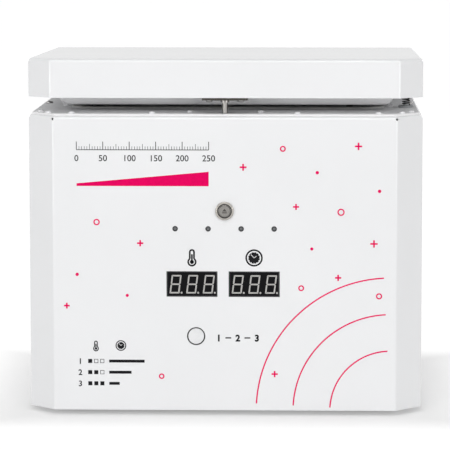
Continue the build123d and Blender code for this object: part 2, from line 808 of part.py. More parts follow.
with BuildPart() as striker_screws_group:
    pin(striker_face, striker_screws, screw_radius, -screw_head + 0.1)
    fillet(striker_screws_group.faces().group_by(Axis.Z)[0].edges(), screw_edge)
    pin(striker_face, striker_screws, screw_shank, striker_thickness + 2 * sheet + 2)

with BuildPart() as latch_pin:
    pin(Plane.XY.offset(latch_tip), [(0, latch_y)], latch_pin_radius, latch_pin_length + 4.5)
    fillet(latch_pin.faces().sort_by(Axis.Z)[0].edges(), 0.5)
    with BuildSketch(Plane.XY.offset(latch_tip + latch_groove_start)):
        with Locations((0, latch_y)):
            Circle(latch_pin_radius)
            Circle(latch_groove_radius, mode=Mode.SUBTRACT)
    extrude(amount=bolt_thickness + 0.6, mode=Mode.SUBTRACT)
    pin(striker_face, [(0, latch_y)], latch_pin_radius + 1.4, -screw_head - 0.1)

with BuildPart() as spring_cup:
    with BuildSketch(Plane.XY.offset(lid_base)):
        with Locations(*spring_place):
            RegularPolygon(cup_flats / 2, 6, major_radius=False)
    extrude(amount=-cup_head)
    pin(Plane.XY.offset(lid_base), spring_place, cup_radius, cup_depth + 1.5)
    cup_mouth = Plane.XY.offset(lid_base - cup_head)
    pin(cup_mouth, spring_place, cup_bore_radius, cup_head + cup_depth, Mode.SUBTRACT)

# Hinges: the case leaves stay, the lid leaves turn with the lid

knuckle_line = [(hinge_y, hinge_z)]
case_knuckle_x = (lid_knuckle_width + case_knuckle_width) / 2 + slide_gap
leaf_low = case_top - leaf_height
leaf_high = hinge_z - leaf_clearance
lid_leaf_low = hinge_z + leaf_clearance
lid_leaf_height = leaf_height - 4
stop_y = hinge_y + 6.5
stop_z = hinge_z + 2.8
cheek_profile = [
    (back_y, leaf_low + 4),
    (back_y + leaf_thickness, leaf_low + 4),
    (back_y + cheek_reach, hinge_z - 4),
    (back_y + cheek_reach, stop_z),
    (stop_y, stop_z),
    (hinge_y + 1, hinge_z - 6),
    (back_y, hinge_z - 6),
]

with BuildPart() as hinge_case_leaves:
    for leaf_x in leaf_places:
        slab(
            facing_front(back_y), [(leaf_x, (leaf_low + leaf_high) / 2)],
            hinge_width, leaf_high - leaf_low, -leaf_thickness,
        )
        for end in (-1, 1):
            knuckle_x = leaf_x + end * case_knuckle_x
            slab(
                facing_front(back_y), [(knuckle_x, (leaf_high + hinge_z) / 2)],
                case_knuckle_width, hinge_z - leaf_high, -leaf_thickness,
            )
            knuckle_face = facing_right(knuckle_x - case_knuckle_width / 2)
            pin(knuckle_face, knuckle_line, knuckle_radius, case_knuckle_width)
            cheek_x = leaf_x + end * (hinge_width - cheek_width) / 2
            with BuildSketch(facing_right(cheek_x - cheek_width / 2)):
                with BuildLine():
                    Polyline(*cheek_profile, close=True)
                make_face()
            extrude(amount=cheek_width)
    pin(facing_right(-half_width), knuckle_line, hinge_pin_radius + 0.01, width, Mode.SUBTRACT)
    pin(facing_front(back_y), hinge_screws, screw_hole, -leaf_thickness, Mode.SUBTRACT)

with BuildPart() as hinge_pins:
    pin_length = lid_knuckle_width + 2 * case_knuckle_width + 2 * slide_gap
    for leaf_x in leaf_places:
        pin(facing_right(leaf_x - pin_length / 2), knuckle_line, hinge_pin_radius, pin_length)

with BuildPart() as hinge_lid_leaves:
    for leaf_x in leaf_places:
        slab(
            facing_front(back_y), [(leaf_x, lid_leaf_low + lid_leaf_height / 2)],
            hinge_width, lid_leaf_height, -leaf_thickness,
        )
        slab(
            facing_front(back_y), [(leaf_x, (hinge_z + lid_leaf_low) / 2)],
            lid_knuckle_width, lid_leaf_low - hinge_z, -leaf_thickness,
        )
        pin(facing_right(leaf_x - lid_knuckle_width / 2), knuckle_line, knuckle_radius, lid_knuckle_width)
    pin(facing_right(-half_width), knuckle_line, hinge_pin_radius + running_gap, width, Mode.SUBTRACT)
    pin(facing_front(back_y), lid_hinge_screws, screw_hole, -leaf_thickness, Mode.SUBTRACT)

with BuildPart() as lid_hinge_screws_group:
    lid_leaf_face = facing_front(back_y + leaf_thickness)
    pin(lid_leaf_face, lid_hinge_screws, screw_radius, -screw_head)
    fillet(lid_hinge_screws_group.faces().group_by(Axis.Y)[-1].edges(), screw_edge)
    pin(lid_leaf_face, lid_hinge_screws, screw_shank, leaf_thickness + sheet + 3)

lid_pieces = [
    lid_shell, lid_pan, lid_insulation, striker_bracket, striker_screws_group, latch_pin, spring_cup,
    hinge_lid_leaves, lid_hinge_screws_group,
]
for piece in lid_pieces:
    piece.part = piece.part.rotate(hinge_line, -lid_rest_angle)

# Front panel controls

with BuildPart() as open_button_bezel:
    pin(facing_front(front_y), button_place, button_bezel_radius, bezel_thickness)
    fillet(open_button_bezel.faces().sort_by(Axis.Y)[0].edges(), 0.6)
    pin(facing_front(front_y), button_place, button_thread_radius, -button_body)
    pin(facing_front(front_y - bezel_thickness / 2), button_place, button_cap_radius + 0.7, 1, Mode.SUBTRACT)
    cap_bore = button_cap_radius + running_gap
    cap_room = bezel_thickness + button_cap_length + 0.5
    pin(facing_front(front_y - bezel_thickness), button_place, cap_bore, -cap_room, Mode.SUBTRACT)
    button_tags = [(side * tag_spacing / 2, button_height) for side in (-1, 1)]
    slab(facing_front(front_y + button_body), button_tags, tag_thickness, tag_width, -tag_length)

with BuildPart() as open_button_cap:
    pin(facing_front(front_y - button_stand), button_place, button_cap_radius, -button_cap_length)
    fillet(open_button_cap.faces().sort_by(Axis.Y)[0].edges(), 0.5)

with BuildPart() as open_button_nut:
    with BuildSketch(facing_front(panel_back_y)):
        with Locations(*button_place):
            RegularPolygon(button_nut_flats / 2, 6, major_radius=False)
            Circle(button_thread_radius + 0.03, mode=Mode.SUBTRACT)
    extrude(amount=-button_nut_height)
    fillet(open_button_nut.edges().filter_by(Axis.Y), 0.5)

with BuildPart() as program_key:
    pin(facing_front(front_y), key_place, key_radius, -sheet - slide_gap)
    fillet(program_key.faces().sort_by(Axis.Y)[0].edges(), 0.3)
    key_flange_y = panel_back_y + slide_gap
    key_stem_end_y = board_y - key_switch_height - slide_gap - key_travel
    pin(facing_front(key_flange_y), key_place, key_hole_radius + key_flange, -1)
    pin(facing_front(key_flange_y), key_place, key_stem_radius, key_flange_y - key_stem_end_y)

with BuildPart() as key_switch:
    slab(facing_front(board_y), key_place, key_switch_size, key_switch_size, key_switch_height)
    fillet(key_switch.faces().sort_by(Axis.Y)[0].edges(), 0.5)

displays = []
for place in display_places:
    with BuildPart() as display:
        slab(facing_front(board_y), [place], display_width, display_tall, display_deep)
        fillet(display.edges().filter_by(Axis.Y), 0.5)
    displays.append(display)
temperature_display, time_display = displays

with BuildPart() as status_lamps:
    pin(facing_front(board_y), lamp_places, lamp_radius, board_y - front_y + 0.3)
    fillet(status_lamps.faces().group_by(Axis.Y)[0].edges(), 0.6)

with BuildPart() as display_board:
    board_middle = [(0, (board_low + board_high) / 2)]
    slab(facing_front(board_y), board_middle, board_width, board_high - board_low, -board_thickness)
    fillet(display_board.edges().filter_by(Axis.Y), board_corner)
    pin(facing_front(board_y), display_standoff_places, board_hole_radius, -board_thickness, Mode.SUBTRACT)

with BuildPart() as display_standoffs:
    with BuildSketch(facing_front(board_y)):
        with Locations(*display_standoff_places):
            RegularPolygon(standoff_radius, 6)
            Circle(board_hole_radius - 0.3, mode=Mode.SUBTRACT)
    extrude(amount=board_y - panel_back_y)

with BuildPart() as display_screws:
    board_back = facing_front(board_y + board_thickness)
    pin(board_back, display_standoff_places, board_hole_radius + 1, -screw_head - 0.1)
    fillet(display_screws.faces().group_by(Axis.Y)[-1].edges(), screw_edge)
    pin(board_back, display_standoff_places, board_hole_radius - 0.35, board_thickness + 4)

# Power electronics on the bottom plate

power_board_low = floor_top + standoff_height
power_board_top = power_board_low + board_thickness
floor_plane = Plane.XY.offset(floor_top)
board_plane = Plane.XY.offset(power_board_top)

with BuildPart() as power_board:
    slab(board_plane, [(power_x, power_y)], power_board_width, power_board_depth, -board_thickness)
    fillet(power_board.edges().filter_by(Axis.Z), board_corner)
    pin(board_plane, power_standoff_places, board_hole_radius, -board_thickness, Mode.SUBTRACT)

with BuildPart() as power_standoffs_group:
    with BuildSketch(floor_plane):
        with Locations(*power_standoff_places):
            RegularPolygon(standoff_radius, 6)
    extrude(amount=standoff_height)
    pin(board_plane, power_standoff_places, board_hole_radius - hole_gap, -board_thickness)
    pin(board_plane, power_standoff_places, board_hole_radius + 1, screw_head - 0.1)

transformer_place = [(power_x - 43, power_y)]
relay_places = [(power_x + 7, power_y - 20), (power_x + 32, power_y - 20)]
terminal_place = [(power_x + 32, power_y + 38)]
sink_width = width / 2 - 70
sink_x = half_width - sink_side_space - sink_width / 2

with BuildPart() as transformer:
    slab(board_plane, transformer_place, transformer_width, transformer_depth, transformer_height)
    fillet(transformer.edges().filter_by(Axis.Z), 1.5)
    winding_low = power_board_top + (transformer_height - winding_height) / 2
    slab(Plane.XY.offset(winding_low), transformer_place, winding_width, winding_depth, winding_height)

with BuildPart() as board_relays:
    slab(board_plane, relay_places, relay_width, relay_depth, relay_height)
    fillet(board_relays.edges().filter_by(Axis.Z), 0.8)

with BuildPart() as terminal_block:
    slab(board_plane, terminal_place, terminal_count * terminal_pitch, terminal_depth, terminal_height)
    with BuildSketch(Plane.XY.offset(power_board_top + terminal_height)):
        with Locations(*terminal_place):
            with GridLocations(terminal_pitch, 0, terminal_count, 1):
                Circle(2.5)
    extrude(amount=-6, mode=Mode.SUBTRACT)

with BuildPart() as heat_sink:
    slab(floor_plane, [(sink_x, power_y)], sink_width, sink_depth, sink_base)
    fin_bank_x = (sink_width + module_width) / 4
    fin_places = [(sink_x + side * (fin_bank_x + 1.75), power_y) for side in (-1, 1)]
    with BuildSketch(Plane.XY.offset(floor_top + sink_base)):
        with Locations(*fin_places):
            with GridLocations(sink_fin_pitch, 0, 3, 1):
                Rectangle(sink_fin, sink_depth)
    extrude(amount=sink_fin_height)

with BuildPart() as solid_state_relay:
    module_low = floor_top + sink_base
    slab(Plane.XY.offset(module_low), [(sink_x, power_y)], module_width, module_depth, module_height)
    fillet(solid_state_relay.edges().filter_by(Axis.Z), 2)
    with BuildSketch(Plane.XY.offset(module_low + module_height)):
        with Locations((sink_x, power_y)):
            with GridLocations(26, 48, 2, 2):
                Circle(4)
    extrude(amount=-4, mode=Mode.SUBTRACT)

# Rear panel: mains inlet and power switch

inlet_place = [(inlet_x, rear_parts_height)]
switch_place = [(switch_x, rear_parts_height)]

with BuildPart() as mains_inlet:
    with BuildSketch(facing_front(back_y)):
        with Locations(*inlet_place):
            RectangleRounded(inlet_flange[0], inlet_flange[1], 4)
    extrude(amount=-inlet_flange[2])
    slab(facing_front(back_y), inlet_place, *inlet_body)
    with BuildSketch(facing_front(back_y + inlet_flange[2])):
        with Locations(*inlet_place):
            Rectangle(inlet_mouth[0], inlet_mouth[1])
            chamfer(vertices().group_by(Axis.Y)[-1], 4)
    extrude(amount=inlet_mouth[2], mode=Mode.SUBTRACT)
    blades = [(inlet_x + x, rear_parts_height + z) for x, z in ((-7, -2), (7, -2), (0, 2))]
    socket_floor = facing_front(back_y + inlet_flange[2] - inlet_mouth[2])
    slab(socket_floor, blades, 2, 4, -blade_length)
    slab(facing_front(back_y - inlet_body[2]), blades, tag_thickness, 5, 8)
    pin(facing_front(back_y), inlet_screws, screw_hole, -inlet_flange[2], Mode.SUBTRACT)

rocker_y = back_y - rocker_pivot_depth
rocker_line = [(rocker_y, rear_parts_height)]
rocker_profile = [
    (rocker_y + 3.2, rear_parts_height),
    (rocker_y + 4.6, rear_parts_height + 7.4),
    (rocker_y - 2.5, rear_parts_height + 7.2),
    (rocker_y - 4, rear_parts_height),
    (rocker_y - 2.5, rear_parts_height - 7.2),
    (rocker_y + 4.6, rear_parts_height - 7.4),
]

with BuildPart() as switch_frame:
    with BuildSketch(facing_front(back_y)):
        with Locations(*switch_place):
            RectangleRounded(switch_flange[0], switch_flange[1], 1.2)
    extrude(amount=-switch_flange[2])
    slab(facing_front(back_y), switch_place, *switch_body)
    slab(facing_front(back_y + switch_flange[2]), switch_place, *switch_mouth, Mode.SUBTRACT)
    pin(facing_right(switch_x - 6), rocker_line, rocker_pivot_radius + running_gap, 12, Mode.SUBTRACT)
    switch_tags = [(switch_x, rear_parts_height + side * 5) for side in (-1, 1)]
    slab(facing_front(back_y - switch_body[2]), switch_tags, 6, tag_thickness, 8)

with BuildPart() as switch_rocker:
    with BuildSketch(facing_right(switch_x - rocker_width / 2)):
        with BuildLine():
            Polyline(*rocker_profile, close=True)
        make_face()
    extrude(amount=rocker_width)
    pivot_length = rocker_width + 2.4
    pin(facing_right(switch_x - pivot_length / 2), rocker_line, rocker_pivot_radius, pivot_length)
rocker_axis = Axis((0, rocker_y, rear_parts_height), (1, 0, 0))
switch_rocker.part = switch_rocker.part.rotate(rocker_axis, rocker_tilt)

pieces = {
    "case_shell": case_shell,
    "bottom_plate": bottom_plate,
    "back_panel": back_panel,
    "top_plate": top_plate,
    "plate_rivets": plate_rivets_group,
    "side_screws": side_screws_group,
    "rubber_feet": rubber_feet,
    "foot_screws": foot_screws,
    "bottom_screws": bottom_screws,
    "rear_screws": rear_screws_group,
    "chamber_tank": chamber_tank,
    "chamber_gasket": chamber_gasket,
    "chamber_insulation": chamber_insulation,
    "heat_shield": heat_shield,
    "heater_pads": heater_pads,
    "temperature_probe": temperature_probe,
    "thermal_cutout": thermal_cutout,
    "instrument_tray": instrument_tray,
    "latch_housing": latch_housing,
    "latch_solenoid": latch_solenoid,
    "latch_bolt": latch_bolt,
    "bolt_spring": bolt_spring,
    "latch_sensor": latch_sensor,
    "spring_seat": spring_seat,
    "pop_up_spring": pop_up_spring,
    "lid_shell": lid_shell,
    "lid_pan": lid_pan,
    "lid_insulation": lid_insulation,
    "striker_bracket": striker_bracket,
    "striker_screws": striker_screws_group,
    "latch_pin": latch_pin,
    "spring_cup": spring_cup,
    "hinge_case_leaves": hinge_case_leaves,
    "hinge_pins": hinge_pins,
    "hinge_lid_leaves": hinge_lid_leaves,
    "lid_hinge_screws": lid_hinge_screws_group,
    "open_button_bezel": open_button_bezel,
    "open_button_cap": open_button_cap,
    "open_button_nut": open_button_nut,
    "program_key": program_key,
    "key_switch": key_switch,
    "temperature_display": temperature_display,
    "time_display": time_display,
    "status_lamps": status_lamps,
    "display_board": display_board,
    "display_standoffs": display_standoffs,
    "display_screws": display_screws,
    "power_board": power_board,
    "power_standoffs": power_standoffs_group,
    "transformer": transformer,
    "board_relays": board_relays,
    "terminal_block": terminal_block,
    "heat_sink": heat_sink,
    "solid_state_relay": solid_state_relay,
    "mains_inlet": mains_inlet,
    "switch_frame": switch_frame,
    "switch_rocker": switch_rocker,
}

os.makedirs("parts", exist_ok=True)
for name, piece in pieces.items():
    piece.part.label = name
    export_step(piece.part, f"parts/{name}.step")
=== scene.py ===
"""The looks of a bench-top dry heat sterilizer, built around its fixed frame.

In the frame's axes +Z is up, -Y is out of the front panel and +X is to the right of someone facing
the front. The studio is in metres. Pieces are drawn in millimetres and scaled as they are finished.
Printed marks are thin meshes that lie just above the sheet they are printed on.
"""

from __future__ import annotations

import json
import logging
import math
from dataclasses import dataclass
from enum import Enum
from typing import Iterable, Sequence

import bmesh
import bpy
from mathutils import Matrix, Vector


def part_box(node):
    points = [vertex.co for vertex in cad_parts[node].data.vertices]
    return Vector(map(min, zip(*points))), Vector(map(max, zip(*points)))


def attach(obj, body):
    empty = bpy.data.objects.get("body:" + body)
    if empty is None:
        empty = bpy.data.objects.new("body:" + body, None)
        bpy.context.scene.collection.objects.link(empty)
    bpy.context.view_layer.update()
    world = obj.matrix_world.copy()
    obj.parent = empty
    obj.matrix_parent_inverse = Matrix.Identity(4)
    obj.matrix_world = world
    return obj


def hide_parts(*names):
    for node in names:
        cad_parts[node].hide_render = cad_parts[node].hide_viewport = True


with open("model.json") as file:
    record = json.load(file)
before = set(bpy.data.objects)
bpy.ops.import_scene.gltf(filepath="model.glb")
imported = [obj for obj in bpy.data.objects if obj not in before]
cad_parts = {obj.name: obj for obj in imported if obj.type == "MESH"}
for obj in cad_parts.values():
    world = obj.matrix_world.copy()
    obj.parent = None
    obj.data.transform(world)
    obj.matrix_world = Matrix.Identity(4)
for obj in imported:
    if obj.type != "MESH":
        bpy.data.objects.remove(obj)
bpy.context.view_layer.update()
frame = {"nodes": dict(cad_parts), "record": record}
MM = 0.001
log = logging.getLogger("sterilizer")

# How far the print stands off the front panel, in millimetres.
INK_LIFT = 0.04
# Points nearer than this are one: in a piece being made, and in a node of the frame.
WELD_MM = 1e-4
WELD_METRES = 1e-6
# An edge that bends more than this stays sharp.
SHARP_ANGLE = math.radians(35)
# The size of lettering whose figures are one millimetre high.
SIZE_OF_FIGURE = 1.38
DISC_STEPS = 36
# Stands a flat shape up, so that it faces the front.
UPRIGHT = Matrix.Rotation(math.pi / 2, 4, "X")
WHITE = (1, 1, 1, 1)
# A noise pattern mostly keeps to this range.
NOISE_RANGE = (0.3, 0.7)

Colour = tuple[float, float, float]
Place = tuple[float, float, float]
Point = tuple[float, float]
Pair = tuple[float, float]
Socket = bpy.types.NodeSocket


def placed(name: str, data: bpy.types.ID) -> bpy.types.Object:
    """Make an object that holds some data and put it in the scene.

    Args:
        name: The object's name.
        data: Its mesh, lamp, camera or curve.

    Returns:
        The object.
    """
    thing = bpy.data.objects.new(name, data)
    bpy.context.scene.collection.objects.link(thing)
    return thing


def box_mm(node: str) -> tuple[Vector, Vector]:
    """Return a frame node's lowest and highest corner, in millimetres."""
    low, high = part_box(node)
    return low / MM, high / MM


def front_plane() -> float:
    """Return the place of the front panel's face along Y, in millimetres."""
    return box_mm("case_shell")[0].y


def front_middle(low: Vector, high: Vector) -> Point:
    """Return the middle of a box as seen from the front, across and up."""
    return (low.x + high.x) / 2, (low.z + high.z) / 2


# ---------------------------------------------------------------- finishes


class Wiring:
    """A short way to wire the nodes of a tree."""

    def __init__(self, tree: bpy.types.NodeTree) -> None:
        """Start on a tree.

        Args:
            tree: The node tree to add to.
        """
        self.tree = tree

    def add(self, kind: str, **settings: object) -> bpy.types.Node:
        """Add a node and set its own properties.

        Args:
            kind: The node's type name.
            **settings: Properties of the node.

        Returns:
            The new node.
        """
        node = self.tree.nodes.new(kind)
        for key, value in settings.items():
            setattr(node, key, value)
        return node

    def join(self, source: Socket, target: Socket) -> None:
        """Link one socket to another."""
        self.tree.links.new(source, target)

    def through(self, kind: str, *sources: object, **settings: object) -> Socket:
        """Add a node that is fed in the order of its inputs.

        Args:
            kind: The node's type name.
            *sources: A socket or a constant for each input.
            **settings: Properties of the node.

        Returns:
            The node's first output.
        """
        node = self.add(kind, **settings)
        for source, target in zip(sources, node.inputs):
            if isinstance(source, bpy.types.NodeSocket):
                self.join(source, target)
            else:
                target.default_value = source
        return node.outputs[0]

    def seen_first(self) -> Socket:
        """Tell what the camera, a mirror or glass sees from what only lights.

        Returns:
            A socket that is one for the first and zero for the second.
        """
        path = self.add("ShaderNodeLightPath")
        found = path.outputs["Is Camera Ray"]
        for kind in ("Is Glossy Ray", "Is Transmission Ray"):
            found = self.through("ShaderNodeMath", found, path.outputs[kind], operation="MAXIMUM")
        return found


class NodeGraph(Wiring):
    """The nodes of a new material that has one Principled shader."""

    def __init__(self, name: str) -> None:
        """Start the material.

        Args:
            name: The material's name.
        """
        self.material = bpy.data.materials.new(name)
        self.material.use_nodes = True
        super().__init__(self.material.node_tree)
        self.shader = self.tree.nodes["Principled BSDF"]
        self.output = self.tree.nodes["Material Output"]
        self.coordinates = self.add("ShaderNodeTexCoord").outputs["Object"]

    def put(self, name: str, value: object) -> None:
        """Set one of the shader's inputs."""
        self.shader.inputs[name].default_value = value

    def stretched(self, scale: Sequence[float]) -> Socket:
        """Stretch the object coordinates.

        Args:
            scale: The factor along each axis.

        Returns:
            The stretched coordinates.
        """
        mapping = self.add("ShaderNodeMapping")
        mapping.inputs["Scale"].default_value = scale
        self.join(self.coordinates, mapping.inputs["Vector"])
        return mapping.outputs["Vector"]

    def noise(
        self, scale: float, detail: float = 3.0, roughness: float = 0.5, where: Socket | None = None
    ) -> Socket:
        """Return a grey noise pattern.

        Args:
            scale: Waves per metre.
            detail: Octaves of finer noise.
            roughness: Strength of the finer octaves.
            where: The coordinates to read, or None for plain object coordinates.

        Returns:
            The noise's factor socket.
        """
        node = self.add("ShaderNodeTexNoise")
        node.inputs["Scale"].default_value = scale
        node.inputs["Detail"].default_value = detail
        node.inputs["Roughness"].default_value = roughness
        self.join(where or self.coordinates, node.inputs["Vector"])
        return node.outputs["Fac"]

    def tint(self, factor: Socket, colour: Colour, dark: float, light: float) -> None:
        """Vary the shader's colour between a darker and a lighter one.

        Args:
            factor: The pattern that chooses between them.
            colour: The colour that both are made from.
            dark: The darker one's share of it.
            light: The lighter one's share of it.
        """
        ramp = self.add("ShaderNodeValToRGB")
        for element, place, share in zip(ramp.color_ramp.elements, NOISE_RANGE, (dark, light)):
            element.position = place
            element.color = (*shaded(colour, share), 1)
        self.join(factor, ramp.inputs["Fac"])
        self.join(ramp.outputs["Color"], self.shader.inputs["Base Color"])

    def rough(self, factor: Socket, low: float, high: float) -> None:
        """Vary the shader's roughness.

        Args:
            factor: The pattern that it follows.
            low: The lowest roughness.
            high: The highest roughness.
        """
        self.join(
            self.through("ShaderNodeMapRange", factor, *NOISE_RANGE, low, high),
            self.shader.inputs["Roughness"],
        )

    def bump(self, height: Socket, depth: float, strength: float) -> None:
        """Raise the surface by a pattern.

        Args:
            height: The pattern of heights.
            depth: How deep it is, in metres.
            strength: How much of it shows.
        """
        node = self.add("ShaderNodeBump")
        node.inputs["Strength"].default_value = strength
        node.inputs["Distance"].default_value = depth
        self.join(height, node.inputs["Height"])
        self.join(node.outputs["Normal"], self.shader.inputs["Normal"])


def shaded(colour: Colour, share: float) -> Colour:
    """Return a colour made darker, or lighter above one, by a share."""
    return tuple(min(1.0, channel * share) for channel in colour)


@dataclass(frozen=True)
class Finish:
    """A surface finish, which draws itself as a node material."""

    name: str
    colour: Colour

    def graph(self) -> NodeGraph:
        """Wire this finish as a new material.

        Returns:
            The material's node graph.
        """
        graph = NodeGraph(self.name)
        graph.put("Base Color", (*self.colour, 1))
        self.dress(graph)
        return graph

    def dress(self, graph: NodeGraph) -> None:
        """Wire the finish into the graph."""
        raise NotImplementedError

    def material(self) -> bpy.types.Material:
        """Return this finish's material, made once."""
        known = bpy.data.materials.get(self.name)
        return known or self.graph().material


@dataclass(frozen=True)
class PowderCoat(Finish):
    """Baked powder paint: a faint orange peel, a soft gloss and a trace of cloudiness."""

    roughness: float = 0.24
    peel: float = 0.000009
    shine: float = 1.0

    def dress(self, graph: NodeGraph) -> None:
        """Wire the peel, the cloudiness and the uneven gloss.

        Args:
            graph: The material's node graph.
        """
        peel = graph.noise(560.0, detail=2.0, roughness=0.45)
        cloud = graph.noise(9.0)
        graph.tint(cloud, self.colour, 0.985, 1.01)
        graph.rough(graph.noise(900.0, detail=2.0), self.roughness - 0.01, self.roughness + 0.015)
        graph.bump(peel, depth=self.peel, strength=0.5)
        graph.put("Specular IOR Level", self.shine)


@dataclass(frozen=True)
class BrushedMetal(Finish):
    """Rolled and brushed sheet metal, with its grain along one axis."""

    grain: Place = (6.0, 700.0, 700.0)
    roughness: float = 0.3

    def dress(self, graph: NodeGraph) -> None:
        """Wire the grain and the broad stains over it.

        Args:
            graph: The material's node graph.
        """
        lines = graph.noise(1.0, detail=4.0, roughness=0.65, where=graph.stretched(self.grain))
        cloud = graph.noise(14.0)
        graph.tint(lines, self.colour, 0.86, 1.08)
        graph.rough(cloud, self.roughness - 0.05, self.roughness + 0.1)
        graph.bump(lines, depth=0.000012, strength=0.6)
        graph.put("Metallic", 1.0)


@dataclass(frozen=True)
class PlatedMetal(Finish):
    """Plated steel: a cloudy, slightly crystalline sheen with small handling marks."""

    roughness: float = 0.32

    def dress(self, graph: NodeGraph) -> None:
        """Wire the crystals and the marks.

        Args:
            graph: The material's node graph.
        """
        crystals = graph.add("ShaderNodeTexVoronoi")
        crystals.inputs["Scale"].default_value = 220.0
        graph.join(graph.coordinates, crystals.inputs["Vector"])
        cloud = graph.noise(60.0, detail=4.0, roughness=0.6)
        graph.tint(cloud, self.colour, 0.88, 1.08)
        graph.rough(crystals.outputs["Distance"], self.roughness - 0.05, self.roughness + 0.08)
        graph.bump(graph.noise(900.0), depth=0.000005, strength=0.3)
        graph.put("Metallic", 1.0)


@dataclass(frozen=True)
class PolishedMetal(Finish):
    """Turned and polished metal with fine hairlines."""

    roughness: float = 0.22
    hairlines: Place = (120.0, 120.0, 2200.0)

    def dress(self, graph: NodeGraph) -> None:
        """Wire the hairlines and the faint haze.

        Args:
            graph: The material's node graph.
        """
        hair = graph.noise(1.0, roughness=0.6, where=graph.stretched(self.hairlines))
        haze = graph.noise(90.0)
        graph.tint(haze, self.colour, 0.9, 1.06)
        graph.rough(hair, self.roughness - 0.02, self.roughness + 0.05)
        graph.bump(hair, depth=0.0000008, strength=0.3)
        graph.put("Metallic", 1.0)


@dataclass(frozen=True)
class TurnedMetal(Finish):
    """Metal faced on a lathe, with fine rings about one axis that points to the front."""

    centre: Place = (0.0, 0.0, 0.0)
    roughness: float = 0.28
    rings: float = 900.0

    def dress(self, graph: NodeGraph) -> None:
        """Wire the lathe's rings and the faint haze over them.

        Args:
            graph: The material's node graph.
        """
        place = graph.through(
            "ShaderNodeVectorMath", graph.coordinates, self.centre, operation="SUBTRACT"
        )
        wave = graph.add("ShaderNodeTexWave", wave_type="RINGS", rings_direction="Y")
        wave.inputs["Scale"].default_value = self.rings
        wave.inputs["Distortion"].default_value = 1.5
        wave.inputs["Detail"].default_value = 2.0
        graph.join(place, wave.inputs["Vector"])
        graph.tint(graph.noise(240.0), self.colour, 0.9, 1.08)
        graph.rough(wave.outputs["Fac"], self.roughness - 0.04, self.roughness + 0.06)
        graph.bump(wave.outputs["Fac"], depth=0.000003, strength=0.4)
        graph.put("Metallic", 1.0)


@dataclass(frozen=True)
class Moulded(Finish):
    """Moulded plastic or rubber with a fine spark-eroded texture."""

    roughness: float = 0.5
    texture: float = 0.00002
    grain: float = 1100.0

    def dress(self, graph: NodeGraph) -> None:
        """Wire the moulded texture and the small changes of gloss.

        Args:
            graph: The material's node graph.
        """
        texture = graph.noise(self.grain, detail=4.0, roughness=0.6)
        cloud = graph.noise(45.0)
        graph.tint(cloud, self.colour, 0.88, 1.14)
        graph.rough(cloud, self.roughness - 0.06, self.roughness + 0.08)
        graph.bump(texture, depth=self.texture, strength=0.6)


@dataclass(frozen=True)
class GlossPlastic(Finish):
    """Smooth, glossy plastic or cast resin."""

    roughness: float = 0.16
    shine: float = 0.5

    def dress(self, graph: NodeGraph) -> None:
        """Wire the faint ripple and the fingerprints' haze.

        Args:
            graph: The material's node graph.
        """
        graph.put("Specular IOR Level", self.shine)
        haze = graph.noise(75.0, detail=4.0, roughness=0.6)
        graph.tint(haze, self.colour, 0.93, 1.08)
        graph.rough(haze, self.roughness - 0.05, self.roughness + 0.08)
        graph.bump(graph.noise(380.0, detail=2.0), depth=0.000006, strength=0.4)


@dataclass(frozen=True)
class Ink(Finish):
    """Screen-printed ink: a flat colour with a slightly dry, uneven film."""

    def dress(self, graph: NodeGraph) -> None:
        """Wire the uneven film.

        Args:
            graph: The material's node graph.
        """
        film = graph.noise(520.0, roughness=0.6)
        graph.tint(film, self.colour, 0.94, 1.05)
        graph.rough(film, 0.38, 0.5)
        graph.bump(film, depth=0.000004, strength=0.3)
        graph.put("Specular IOR Level", 0.06)


@dataclass(frozen=True)
class Fibre(Finish):
    """A ceramic fibre blanket: matted threads with a soft, uneven face."""

    mat: Place = (240.0, 900.0, 500.0)

    def dress(self, graph: NodeGraph) -> None:
        """Wire the matted threads and the soft lumps.

        Args:
            graph: The material's node graph.
        """
        threads = graph.noise(1.0, detail=6.0, roughness=0.75, where=graph.stretched(self.mat))
        lumps = graph.noise(55.0, detail=4.0)
        graph.tint(threads, self.colour, 0.8, 1.06)
        graph.rough(lumps, 0.85, 0.97)
        graph.bump(threads, depth=0.0006, strength=0.8)
        graph.put("Sheen Weight", 0.3)


@dataclass(frozen=True)
class Laminate(Finish):
    """A circuit board: solder mask over faint copper tracks."""

    def dress(self, graph: NodeGraph) -> None:
        """Wire the tracks under the mask.

        Args:
            graph: The material's node graph.
        """
        tracks = graph.add("ShaderNodeTexBrick", offset=0.5)
        tracks.inputs["Scale"].default_value = 210.0
        tracks.inputs["Mortar Size"].default_value = 0.05
        tracks.inputs["Color1"].default_value = (*self.colour, 1)
        tracks.inputs["Color2"].default_value = (*shaded(self.colour, 0.86), 1)
        tracks.inputs["Mortar"].default_value = (*shaded(self.colour, 1.5), 1)
        graph.join(graph.coordinates, tracks.inputs["Vector"])
        graph.join(tracks.outputs["Color"], graph.shader.inputs["Base Color"])
        graph.rough(graph.noise(120.0), 0.25, 0.4)
        graph.bump(tracks.outputs["Fac"], depth=0.00003, strength=0.4)


